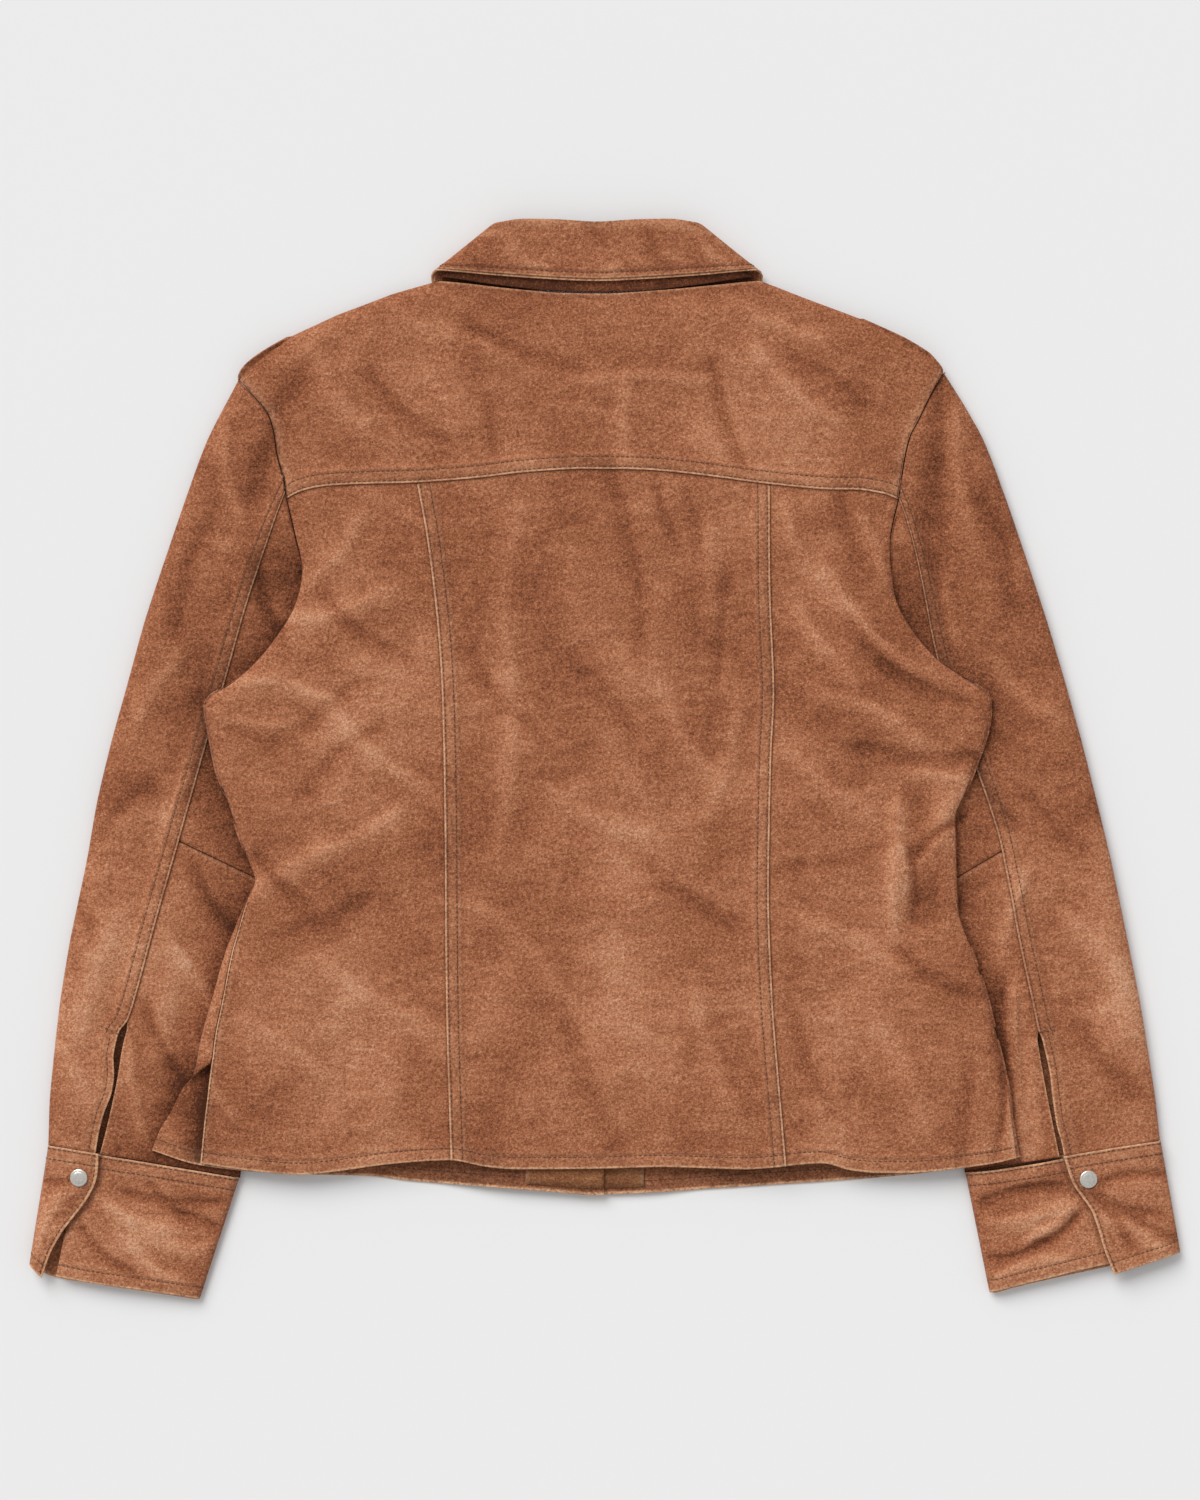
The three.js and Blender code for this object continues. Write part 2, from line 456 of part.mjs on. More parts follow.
// Point and outward direction on a tube's upper (1) or lower (-1) skin.
function skin(tube, x, y, side) {
  let fold = null;
  let hit = null;
  for (const candidate of tube.folds) {
    const found = nearest(candidate.line, x, y);
    if (!hit || found.distance < hit.distance) {
      hit = found;
      fold = candidate;
    }
  }
  const surface = side > 0 ? tube.top : tube.bottom;
  const open = surface(x, y);
  const { middle, reach } = roundFold(tube, fold, hit.x, hit.y);
  const share = clamp(hit.distance / reach, 0, 1);
  const lift = Math.sqrt(1 - (1 - share) ** 2);
  const step = 1.5;
  const slopeX = (surface(x + step, y) - surface(x - step, y)) / (2 * step);
  const slopeY = (surface(x, y + step) - surface(x, y - step)) / (2 * step);
  const rise = Math.max(Math.abs(open - middle), 1);
  const outX = hit.distance > 0.4 ? (hit.x - x) / hit.distance : fold.face * hit.acrossX;
  const outY = hit.distance > 0.4 ? (hit.y - y) / hit.distance : fold.face * hit.acrossY;
  const turn = (1 - share) / reach;
  const up = share >= 1 ? 1 : lift / rise;
  const tilt = share >= 1 ? 0 : turn;
  const out = new THREE.Vector3(
    outX * tilt - side * slopeX * up * lift,
    outY * tilt - side * slopeY * up * lift,
    side * up,
  ).normalize();
  return { point: new THREE.Vector3(x, y, middle + (open - middle) * lift), out };
}

// Closed wall over a grid of skin points.
function wall(grid) {
  const rows = grid.length;
  const columns = grid[0].length;
  const positions = [];
  const push = (point) => positions.push(point.x, point.y, point.z);
  grid.forEach((row) => row.forEach(({ point }) => push(point)));
  const within = ({ point, out }) => point.clone().addScaledVector(out, -WALL);
  grid.forEach((row) => row.forEach((place) => push(within(place))));
  const inner = rows * columns;
  const at = (row, column) => row * columns + column;
  const index = [];
  const quad = (a, b, c, d) => index.push(a, b, c, a, c, d);
  for (let r = 0; r + 1 < rows; r += 1) {
    for (let c = 0; c + 1 < columns; c += 1) {
      const [a, b, d, e] = [at(r, c), at(r, c + 1), at(r + 1, c + 1), at(r + 1, c)];
      quad(a, b, d, e);
      quad(inner + a, inner + e, inner + d, inner + b);
    }
  }
  for (let r = 0; r + 1 < rows; r += 1) {
    const [a, b] = [at(r, 0), at(r + 1, 0)];
    quad(a, b, inner + b, inner + a);
    const [d, e] = [at(r, columns - 1), at(r + 1, columns - 1)];
    quad(e, d, inner + d, inner + e);
  }
  for (let c = 0; c + 1 < columns; c += 1) {
    const [a, b] = [at(0, c), at(0, c + 1)];
    quad(b, a, inner + a, inner + b);
    const [d, e] = [at(rows - 1, c), at(rows - 1, c + 1)];
    quad(d, e, inner + e, inner + d);
  }
  let volume = 0;
  const v = (i) => new THREE.Vector3(positions[3 * i], positions[3 * i + 1], positions[3 * i + 2]);
  for (let i = 0; i < index.length; i += 3) {
    volume += v(index[i]).dot(v(index[i + 1]).cross(v(index[i + 2])));
  }
  if (volume < 0) {
    for (let i = 0; i < index.length; i += 3) {
      [index[i + 1], index[i + 2]] = [index[i + 2], index[i + 1]];
    }
  }
  const geometry = new THREE.BufferGeometry();
  geometry.setAttribute("position", new THREE.Float32BufferAttribute(positions, 3));
  geometry.setIndex(index);
  geometry.computeVertexNormals();
  return geometry;
}

const jacket = new THREE.Group();
function add(name, geometry, finish) {
  const mesh = new THREE.Mesh(geometry, new THREE.MeshStandardMaterial(finish));
  mesh.name = name;
  jacket.add(mesh);
}

// Back of the body.
const insetX = (side, y) => read(SIDE_SEAM_INSET[side], "y", y, "inset");
// A level row bends to follow the hem below it and the yoke seam above it.
function rowY(hem, x, level) {
  const low = clamp(1 - (level - HEM_Y) / 80, 0, 1) ** 2;
  const high = clamp(1 - (YOKE_Y - level) / 70, 0, 1) ** 2;
  const toHem = (read(hem, "x", x, "y") - HEM_Y) * low;
  return level + toHem + (read(YOKE_SEAM, "x", x, "y") - YOKE_Y) * high;
}
// Distances in from a fold that follow its round edge in even turns.
const TURNS = [30, 60, 90];
const turnIn = (reach, degrees) => reach * (1 - Math.cos(radians(degrees)));

function reachAt(tube, side, level) {
  const fold = tube.folds[side === "left" ? 0 : 1];
  const y = Math.min(level, UNDERARM[side].y);
  return Math.max(roundFold(tube, fold, bodyEdgeX(side, y), y).reach, 1.5);
}

// The side seam's space across the fold, wider where the outline turns at the underarm.
function sideSeamGap(level) {
  return 0.45 + 1.1 * Math.exp(-(((level - UNDERARM_CORNER_Y) / 9) ** 2));
}

function sidePanelGrid(side) {
  const sign = across(side);
  const tube = side === "left" ? LEFT_BODY : RIGHT_BODY;
  const underarm = UNDERARM[side].y;
  const levels = BODY_ROWS.filter((level) => level < underarm - 3);
  levels.push(underarm, mix(underarm, YOKE_Y, 0.3), mix(underarm, YOKE_Y, 0.65), YOKE_Y - SEAM);
  return levels.map((level) => {
    const onFold = level <= UNDERARM[side].y;
    const vent = side === "left" && level < VENT_TOP_Y;
    const edge = vent ? read(BACK_VENT_EDGE, "y", level, "x") : bodyEdgeX(side, level);
    const start = onFold && !vent ? insetX(side, level) + sideSeamGap(level) : ARMHOLE_GAP;
    const first = edge - sign * start;
    const near = read(BACK_SEAM[side], "y", level, "x");
    const seam = read(BACK_SEAM[side], "y", rowY(BACK_HEM, near, level), "x") + sign * HALF_GAP;
    const width = Math.abs(seam - first);
    const reach = onFold ? reachAt(tube, side, level) : BODY_REACH;
    const used = onFold ? start : 0;
    const turned = TURNS.map((turn) => Math.max(turnIn(reach, turn) - used, 0.35 * (turn / 30)));
    const places = [0, ...turned];
    const inner = [0.12, 0.4, 0.7, 1].map((share) => mix(turned[2], width, share));
    return [...places, ...inner].map((distance) => {
      const x = first - sign * distance;
      return skin(tube, x, rowY(BACK_HEM, x, level), 1);
    });
  });
}

function centrePanelGrid() {
  const levels = BODY_ROWS.filter((level, i) => i % 2 === 0 || level > 60);
  levels.push(124, 148, YOKE_Y - SEAM);
  return levels.map((level) => {
    const seamX = (side) => {
      const near = read(BACK_SEAM[side], "y", level, "x");
      return read(BACK_SEAM[side], "y", rowY(BACK_HEM, near, level), "x");
    };
    const left = seamX("left") + HALF_GAP;
    const right = seamX("right") - HALF_GAP;
    return [0, 0.12, 0.28, 0.44, 0.6, 0.75, 0.88, 1].map((share) => {
      const x = mix(left, right, share);
      return skin(LEFT_BODY, x, rowY(BACK_HEM, x, level), 1);
    });
  });
}

// Columns of the yoke run up from its seam to the shoulder or the neck; its two sides bow to
// the armholes.
function yokeGrid() {
  const shares = [0, 0.25, 0.5, 0.72, 0.87, 0.96, 1];
  const ends = YOKE_TOP.length - 1;
  return shares.map((share) =>
    YOKE_TOP.map((column, i) => {
      const seamX = clamp(column.seam, YOKE_TOP[0].seam + HALF_GAP, YOKE_TOP[ends].seam - HALF_GAP);
      const from = { x: seamX, y: read(YOKE_SEAM, "x", column.seam, "y") + HALF_GAP };
      const onNeck = i >= 6 && i <= 12;
      const stop = onNeck ? 0.5 : 0.12;
      const length = Math.hypot(column.x - from.x, column.y - from.y);
      const reach = mix(0, 1 - stop / length, share);
      let x = mix(from.x, column.x, reach);
      const y = mix(from.y, column.y, reach);
      for (const [side, end] of [["left", 0], ["right", ends]]) {
        const fade = clamp(1 - Math.abs(i - end) / 3, 0, 1);
        const chord = mix(YOKE_TOP[end].seam, YOKE_TOP[end].x, reach);
        const bow = bodyEdgeX(side, y) - chord;
        const tuck = i === end ? -across(side) * ARMHOLE_GAP : 0;
        x += (i === end ? bow : bow * fade) + tuck;
      }
      return skin(LEFT_BODY, x, y, 1);
    }),
  );
}

// A front runs from its side seam, round the fold, to the front edge and neckline.
function frontRows(side) {
  const sign = across(side);
  const rows = [];
  const edgeAt = FRONT_EDGE[side];
  const extra = side === "left" ? [-204, -208, FLAP_TOP_Y] : [];
  const levels = [...BODY_ROWS, ...extra].filter((level) => level < UNDERARM[side].y - 3);
  levels.push(UNDERARM[side].y);
  levels.sort((a, b) => a - b);
  for (const level of levels) {
    const low = soften((100 - level) / 200);
    rows.push({
      level,
      edge: { x: edgeAt, y: rowY(FRONT_HEM, edgeAt, level) + 6 * (1 - low) },
      fold: true,
    });
  }
  const arm = UNDERARM[side].y;
  for (const row of FRONT_TOP_ROWS) {
    const level = mix(arm, SHOULDER_TIP[side].y, row.arm);
    const neckX = NECK_CENTRE_X + sign * row.edge;
    const x = row.edge > 20 ? neckX : edgeAt;
    rows.push({ level, edge: { x, y: row.y }, fold: false, arm: row.arm });
  }
  return rows;
}

function frontGrid(side) {
  const sign = across(side);
  const tube = side === "left" ? LEFT_BODY : RIGHT_BODY;
  const rows = frontRows(side);
  return rows.map((row) => {
    const { level, edge } = row;
    const flap = side === "left" && level < FLAP_TOP_Y;
    const outline = flap ? read(VENT_FRONT_EDGE, "y", level, "x") : bodyEdgeX(side, level);
    const inset = insetX(side, level);
    const wrap = row.fold && !flap ? Math.max(inset - 0.05, 0.03) : 0;
    const places = [];
    if (row.fold) {
      places.push({ distance: wrap, up: 1 }, { distance: wrap * 0.3, up: 1 }, { distance: 0, up: -1 });
    } else {
      const gap = ARMHOLE_GAP + 0.5 * soften((0.1 - row.arm) / 0.05);
      places.push({ distance: gap, up: -1 }, { distance: 1.1, up: -1 }, { distance: 2, up: -1 });
    }
    if (flap) {
      places[0] = { distance: 0, up: -1 };
      places[1] = { distance: 1, up: -1 };
      places[2] = { distance: 2.2, up: -1 };
    }
    const rolled = places[2].distance > 0 ? 2.5 : 0;
    const reach = reachAt(tube, side, level);
    TURNS.forEach((turn) => places.push({ distance: turnIn(reach, turn) + rolled, up: -1 }));
    const start = { x: outline, y: row.fold ? rowY(FRONT_HEM, outline, level) : level };
    const width = Math.hypot(edge.x - start.x, edge.y - start.y);
    const taken = places[places.length - 1].distance;
    const besideSleeve = Math.min(level, UNDERARM[side].y);
    const onSleeve = Math.abs(read(SLEEVE_INNER[side], "y", besideSleeve, "x") - outline);
    const margin = Math.max(onSleeve + COVER_MARGIN, 30);
    const settled = margin + 48;
    const steps = [mix(taken, margin, 0.5), margin, margin + 16, margin + 32, settled];
    steps.push(Math.max(width - BAND_WIDTH - 40, mix(settled, width, 0.33)));
    steps.push(Math.max(width - BAND_WIDTH, mix(settled, width, 0.66)), width);
    steps.forEach((distance) => places.push({ distance, up: -1 }));
    const last = rows[rows.length - 1];
    const shoulder = row === last;
    return places.map(({ distance, up }) => {
      const share = distance / width;
      const x = mix(start.x, edge.x, share);
      let y = mix(start.y, edge.y, share);
      if (row.fold) {
        const ends = [start.x, edge.x].map((endX) => rowY(FRONT_HEM, endX, level));
        y += rowY(FRONT_HEM, x, level) - mix(...ends, share);
      }
      if (shoulder) {
        y = lineY(SHOULDER[side], x) - SHOULDER_GAP;
      }
      return skin(tube, x, y, up);
    });
  });
}

// A facing lies inside the front edge: the front's inner skin, moved in by one seam space.
function facingGrid(side) {
  const tube = side === "left" ? LEFT_BODY : RIGHT_BODY;
  const levels = [-265, -240, -200, -150, -100, -50, 0, 50, 100, 150, 174];
  return levels.map((level) =>
    [0, 0.25, 0.5, 0.75, 1].map((share) => {
      const x = mix(FRONT_EDGE[side], FACING_EDGE[side], share);
      const y = level < 0 ? rowY(FRONT_HEM, x, level) : level;
      const front = skin(tube, x, y, -1);
      return { point: front.point.clone().addScaledVector(front.out, -LAYER), out: front.out };
    }),
  );
}

// Sleeves.
function sleeveRow(side, along) {
  const from = SLEEVE_OUTER[side][0];
  const to = SLEEVE_OUTER[side][SLEEVE_OUTER[side].length - 1];
  const innerEnd = SLEEVE_INNER[side][SLEEVE_INNER[side].length - 1];
  const outerY = mix(from.y, to.y, along);
  const innerY = mix(UNDERARM[side].y, innerEnd.y, along);
  const outer = { x: read(SLEEVE_OUTER[side], "y", outerY, "x"), y: outerY };
  const inner = { x: read(SLEEVE_INNER[side], "y", innerY, "x"), y: innerY };
  const bow = clamp(1 - along / 0.2, 0, 1) ** 2;
  const width = Math.hypot(inner.x - outer.x, inner.y - outer.y);
  const place = (share) => {
    const y = mix(outer.y, inner.y, share);
    const armY = mix(from.y, UNDERARM[side].y, share);
    const chord = mix(from.x, UNDERARM[side].x, share);
    return { x: mix(outer.x, inner.x, share) + (bodyEdgeX(side, armY) - chord) * bow, y };
  };
  return { place, width };
}

// Share of the way across a row where the back seam crosses it.
function seamShare(side, row) {
  const sign = across(side);
  let low = 0.05;
  let high = 0.95;
  for (let i = 0; i < 30; i += 1) {
    const middle = (low + high) / 2;
    const { x, y } = row.place(middle);
    if (sign * (x - read(SLEEVE_BACK_SEAM[side], "y", y, "x")) > 0) low = middle;
    else high = middle;
  }
  return low;
}

function sleeveGrid(side, piece, fromAlong, toAlong) {
  const sign = across(side);
  const tube = SLEEVE_TUBE[side];
  const inside = SLEEVE_ROWS.filter((along) => along > fromAlong + 0.01 && along < toAlong - 0.01);
  return [fromAlong, ...inside, toAlong].map((along) => {
    const row = sleeveRow(side, along);
    const gap = HALF_GAP / row.width;
    const slit = (SLIT_WIDTH / row.width) * soften((along - SLIT_AT) / 0.04);
    const seam = seamShare(side, row);
    const outerTurn = turnIn(SLEEVE_OUTER_REACH, 45) / row.width;
    const outerFull = SLEEVE_OUTER_REACH / row.width;
    const innerTurn = turnIn(SLEEVE_INNER_REACH, 45) / row.width;
    const innerFull = SLEEVE_INNER_REACH / row.width;
    const lower = FRONT_SEAM_AT;
    const places =
      piece === "outer"
        ? [
            [lower - gap, -1], [mix(outerFull, lower, 0.67), -1], [mix(outerFull, lower, 0.33), -1],
            [outerFull, -1], [outerTurn, -1], [0, 1], [outerTurn, 1], [outerFull, 1],
            [mix(outerFull, seam, 0.5), 1], [seam - gap, 1],
          ]
        : [
            [seam + gap + slit, 1], [mix(seam, 1 - innerFull, 0.2) + slit * 0.5, 1],
            [mix(seam, 1 - innerFull, 0.4), 1], [mix(seam, 1 - innerFull, 0.7), 1], [1 - innerFull, 1],
            [1 - innerTurn, 1], [1, -1], [1 - innerTurn, -1], [1 - innerFull, -1],
            [mix(lower, 1, 0.43), -1], [lower + gap, -1],
          ];
    return places.map(([share, up]) => {
      const { x, y } = row.place(share);
      const shift = along === 0 ? sign * ARMHOLE_GAP : 0;
      const low = along === 1 ? CUFF_DROP : 0;
      return skin(tube, x + shift, y + low, up);
    });
  });
}

// Smooth surface through a table of sections, with its own outward direction.
function sectionSurface(sections, ends) {
  const curves = ends(sections).map((points) => new THREE.CatmullRomCurve3(points, false, "centripetal"));
  const point = (s, w) => curves[0].getPoint(s).lerp(curves[1].getPoint(s), w);
  return (s, w) => {
    const d = 0.004;
    const along = point(Math.min(s + d, 1), w).sub(point(Math.max(s - d, 0), w));
    const down = point(s, 1).sub(point(s, 0));
    return { point: point(s, w), out: along.cross(down).normalize() };
  };
}

function cuffGrid(side) {
  const surface = sectionSurface(CUFF_SECTIONS[side], (rows) => [
    rows.map((row) => new THREE.Vector3(row.x, row.y, row.z)),
    rows.map((row) => new THREE.Vector3(row.x2, row.y2, row.z)),
  ]);
  const turn = side === "left" ? 1 : -1;
  const steps = 2 * (CUFF_SECTIONS[side].length - 1);
  return Array.from({ length: steps + 1 }, (_, i) =>
    CUFF_ACROSS.map((w) => {
      const found = surface(i / steps, w);
      found.point.z = Math.max(found.point.z, 0);
      return { point: found.point, out: found.out.multiplyScalar(turn) };
    }),
  );
}

// Collar.
const mirrored = [...COLLAR_SECTIONS.slice(1)].reverse().map((row) => ({ ...row, flip: -1 }));
const COLLAR_ROUND = [...mirrored, ...COLLAR_SECTIONS.map((row) => ({ ...row, flip: 1 }))];
const standSurface = sectionSurface(COLLAR_ROUND, (rows) => [
  rows.map((row) => new THREE.Vector3(NECK_CENTRE_X + row.flip * row.neck, row.neckY + 0.2, row.neckZ)),
  rows.map((row) => new THREE.Vector3(NECK_CENTRE_X + row.flip * row.top, row.topY, row.topZ)),
]);
const fallSurface = sectionSurface(COLLAR_ROUND, (rows) => [
  rows.map((row) => new THREE.Vector3(NECK_CENTRE_X + row.flip * row.top, row.topY, row.topZ)),
  rows.map((row) => new THREE.Vector3(NECK_CENTRE_X + row.flip * row.edge, row.edgeY, row.neckZ)),
]);
const COLLAR_STEPS = 32;

function standGrid() {
  return Array.from({ length: COLLAR_STEPS + 1 }, (_, i) =>
    COLLAR_STAND_ACROSS.map((w) => {
      const found = standSurface(i / COLLAR_STEPS, w);
      return { point: found.point, out: found.out };
    }),
  );
}

// The fall rolls over the top of the stand, and lies outside it at the fold's own width.
function fallGrid() {
  return Array.from({ length: COLLAR_STEPS + 1 }, (_, i) => {
    const s = i / COLLAR_STEPS;
    const edge = standSurface(s, 1);
    const out = edge.out;
    const upward = edge.point.clone().sub(standSurface(s, 0).point).normalize();
    const centre = edge.point.clone().addScaledVector(out, COLLAR_ROLL - WALL / 2);
    const radius = COLLAR_ROLL + WALL / 2;
    const roll = [-70, -20, 35].map((degrees) => {
      const way = upward.clone().multiplyScalar(Math.cos(radians(degrees)));
      way.addScaledVector(out, Math.sin(radians(degrees)));
      const clear = degrees < -60 ? 0.35 : 0;
      return { point: centre.clone().addScaledVector(way, radius + clear), out: way };
    });
    const fall = COLLAR_FALL_ACROSS.map((w) => {
      const { point } = fallSurface(s, w);
      return { point: point.addScaledVector(out, 2 * COLLAR_ROLL), out: out.clone() };
    });
    return [...roll, ...fall];
  });
}

// Snap caps: low domed discs with a flat middle.
function snapCap() {
  const profile = [
    new THREE.Vector2(0, 0),
    new THREE.Vector2(SNAP_RADIUS - 0.5, 0),
    new THREE.Vector2(SNAP_RADIUS, 0.45),
    new THREE.Vector2(SNAP_RADIUS - 0.7, 1.1),
    new THREE.Vector2(SNAP_RADIUS - 2, SNAP_RISE),
    new THREE.Vector2(0, SNAP_RISE),
  ];
  return new THREE.LatheGeometry(profile, 14).rotateX(Math.PI / 2);
}

add("back_yoke", wall(yokeGrid()), SUEDE);
add("back_centre_panel", wall(centrePanelGrid()), SUEDE);
for (const side of ["left", "right"]) {
  add("back_side_panel_" + side, wall(sidePanelGrid(side)), SUEDE);
  add("front_" + side, wall(frontGrid(side)), SUEDE_INSIDE);
  add("front_facing_" + side, wall(facingGrid(side)), SUEDE_INSIDE);
  add("sleeve_outer_" + side, wall(sleeveGrid(side, "outer", 0, 1)), SUEDE);
  const elbowGap = 0.0004;
  add("sleeve_under_upper_" + side, wall(sleeveGrid(side, "under", 0, ELBOW_AT - elbowGap)), SUEDE);
  add("sleeve_under_lower_" + side, wall(sleeveGrid(side, "under", ELBOW_AT + elbowGap, 1)), SUEDE);
  add("cuff_" + side, wall(cuffGrid(side)), SUEDE);
}
add("collar_stand", wall(standGrid()), SUEDE);
add("collar_fall", wall(fallGrid()), SUEDE);

for (const side of ["left", "right"]) {
  const cap = snapCap();
  cap.translate(CUFF_SNAPS[side].x, CUFF_SNAPS[side].y, CUFF_TOP + 0.2);
  add("cuff_snap_" + side, cap, SNAP_METAL);
}
FRONT_SNAPS.forEach((y, i) => {
  const cap = snapCap().rotateX(Math.PI);
  cap.translate(mix(FRONT_EDGE.right, FRONT_EDGE.left, 0.5), y, SNAP_RISE);
  add("front_snap_" + (i + 1), cap, SNAP_METAL);
});

export default jacket;
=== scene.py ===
# %% [markdown]
# # A suede jacket laid flat
# The jacket lies on its front with its back up, as a shop lays a garment out to photograph it.
# A maker cuts it from thin suede: a yoke, three back panels, two fronts with facings, sleeves of
# three pieces, cuffs and a collar of two. This lesson builds each of them as a thin wall over a
# grid of points, because cloth that lies flat is mostly its outline, its seams and its creases.
# %% Load the frame
import math

import bpy
import numpy as np
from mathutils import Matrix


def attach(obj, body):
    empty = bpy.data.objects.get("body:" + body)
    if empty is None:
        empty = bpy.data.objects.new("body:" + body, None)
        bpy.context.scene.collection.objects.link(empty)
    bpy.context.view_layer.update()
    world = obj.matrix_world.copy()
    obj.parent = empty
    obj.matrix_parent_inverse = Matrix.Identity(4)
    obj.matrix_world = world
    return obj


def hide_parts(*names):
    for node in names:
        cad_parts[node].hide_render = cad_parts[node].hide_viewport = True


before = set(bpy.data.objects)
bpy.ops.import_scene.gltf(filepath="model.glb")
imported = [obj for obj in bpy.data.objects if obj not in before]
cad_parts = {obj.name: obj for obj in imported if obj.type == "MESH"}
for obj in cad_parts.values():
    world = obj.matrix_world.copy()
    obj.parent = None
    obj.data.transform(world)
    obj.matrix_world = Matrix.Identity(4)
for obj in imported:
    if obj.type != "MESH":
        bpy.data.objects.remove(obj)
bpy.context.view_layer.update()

# %% [markdown]
# The photograph looks straight down, so the camera hangs above the jacket and looks along -Z.
# One photo pixel is 0.66 mm on the table, which fixes what the frame has to cover. A long lens
# from high up keeps the sides of the folds out of sight, as they are in the photograph.
# %% Camera
MM = 0.001
PIXEL = 0.66 * MM
FRAME_TALL = 1500 * PIXEL
FRAME_CENTRE = (-0.00297, 0.00495)
SENSOR = 36.0
CAMERA_HEIGHT = 2.6
CLOTH_TOP = 8 * MM

camera_data = bpy.data.cameras.new("camera")
camera_data.sensor_width = SENSOR
camera_data.lens = SENSOR * CAMERA_HEIGHT / FRAME_TALL
camera = bpy.data.objects.new("camera", camera_data)
camera.location = (*FRAME_CENTRE, CAMERA_HEIGHT + CLOTH_TOP)
bpy.context.collection.objects.link(camera)
bpy.context.scene.camera = camera
print("lens", round(camera_data.lens, 1), "mm")

# %% [markdown]
# Studio light for cloth is soft and comes mostly from one side. Light from straight above hides
# every crease, and light from low down shows them all, so one far, wide lamp stands above the
# collar, a little to the left, and the pale room around fills its shadows. A sun lamp lights the
# whole table evenly, which a near lamp would not.
# %% Floor and light
FLOOR_SIZE = 3.0
FLOOR_LEVEL = -0.0002
FLOOR_COLOUR = (0.83, 0.83, 0.83, 1.0)
FLOOR_ROUGHNESS = 0.9
ROOM_COLOUR = (1.0, 1.0, 1.0, 1.0)
ROOM_STRENGTH = 0.52


def add_material(name):
    material = bpy.data.materials.new(name)
    material.use_nodes = True
    return material, material.node_tree.nodes, material.node_tree.links


def add_mesh(name, points, faces, material):
    mesh = bpy.data.meshes.new(name)
    mesh.from_pydata(points, [], faces)
    mesh.materials.append(material)
    piece = bpy.data.objects.new(name, mesh)
    bpy.context.collection.objects.link(piece)
    return piece


floor_material, floor_nodes, _ = add_material("floor")
floor_nodes["Principled BSDF"].inputs["Base Color"].default_value = FLOOR_COLOUR
floor_nodes["Principled BSDF"].inputs["Roughness"].default_value = FLOOR_ROUGHNESS
half = FLOOR_SIZE / 2
corners = [(x * half, y * half, FLOOR_LEVEL) for x, y in ((-1, -1), (1, -1), (1, 1), (-1, 1))]
floor = add_mesh("floor", corners, [(0, 1, 2, 3)], floor_material)


def add_sun(name, azimuth, height, softness, strength):
    """A far lamp: azimuth is measured from +X towards +Y, height above the table, in degrees."""
    data = bpy.data.lights.new(name, "SUN")
    data.energy = strength
    data.angle = math.radians(softness)
    lamp = bpy.data.objects.new(name, data)
    lamp.rotation_euler = (0, math.radians(90 - height), math.radians(azimuth))
    bpy.context.collection.objects.link(lamp)


add_sun("key", azimuth=122, height=40, softness=40, strength=2.35)
world = bpy.data.worlds.new("room")
world.use_nodes = True
world.node_tree.nodes["Background"].inputs["Color"].default_value = ROOM_COLOUR
world.node_tree.nodes["Background"].inputs["Strength"].default_value = ROOM_STRENGTH
bpy.context.scene.world = world
bpy.context.scene.view_settings.view_transform = "Standard"
print("floor", FLOOR_SIZE, "m wide under one lamp and a room of strength", ROOM_STRENGTH)

# %% [markdown]
# Everything that follows is measured in millimetres, with X across the jacket, Y from hem to
# collar and Z up. An outline is a short table of places, and a smooth curve reads between them.
# The curve never swings past its places, so that an edge drawn by a few points has no ripples.
# %% Reading the tables
WALL = 1.2


def soften(share):
    t = np.clip(share, 0, 1)
    return t * t * (3 - 2 * t)


def near(distance, start, reach):
    """1 up to the start, and softly down to 0 over the reach after it."""
    return 1 - soften((distance - start) / reach)


def bell(distance, middle, width):
    return np.exp(-(((distance - middle) / width) ** 2))


def mix(a, b, share):
    return a + (b - a) * share


def curve_through(pairs):
    """A smooth curve through (at, value) pairs, straight beyond its ends."""
    at, value = np.array(sorted(pairs), float).T
    chord = np.diff(value) / np.diff(at)
    slope = np.concatenate([[chord[0]], (value[2:] - value[:-2]) / (at[2:] - at[:-2]), [chord[-1]]])

    def read(x):
        x = np.asarray(x, float)
        i = np.clip(np.searchsorted(at, x, side="right") - 1, 0, len(at) - 2)
        run = chord[i]
        span = at[i + 1] - at[i]
        t = (x - at[i]) / span
        inside = np.clip(t, 0, 1)
        ends = []
        for m in (slope[i], slope[i + 1]):
            steepest = np.sign(run) * np.minimum(abs(m), 3 * abs(run))
            ends.append(np.where(m * run <= 0, 0, steepest) * span)
        t2, t3 = inside**2, inside**3
        height = (2 * t3 - 3 * t2 + 1) * value[i] + (3 * t2 - 2 * t3) * value[i + 1]
        height = height + (t3 - 2 * t2 + inside) * ends[0] + (t3 - t2) * ends[1]
        return height + run * span * (t - inside)

    return read


def nearest(line, x, y):
    """Distance to a line of straight stretches, and the nearest point on it."""
    line = np.asarray(line, float)
    start, run = line[:-1], np.diff(line, axis=0)
    x, y = np.broadcast_arrays(np.asarray(x, float), np.asarray(y, float))
    px, py = x[..., None] - start[:, 0], y[..., None] - start[:, 1]
    t = np.clip((px * run[:, 0] + py * run[:, 1]) / (run**2).sum(1), 0, 1)
    gap = np.hypot(px - t * run[:, 0], py - t * run[:, 1])
    k = gap.argmin(-1)[..., None]
    at = np.take_along_axis(t, k, -1)[..., 0]
    gap = np.take_along_axis(gap, k, -1)[..., 0]
    k = k[..., 0]
    return gap, start[k, 0] + at * run[k, 0], start[k, 1] + at * run[k, 1]


def distance_to(line, x, y):
    return nearest(line, x, y)[0]


print("smooth step at a quarter:", soften(0.25))


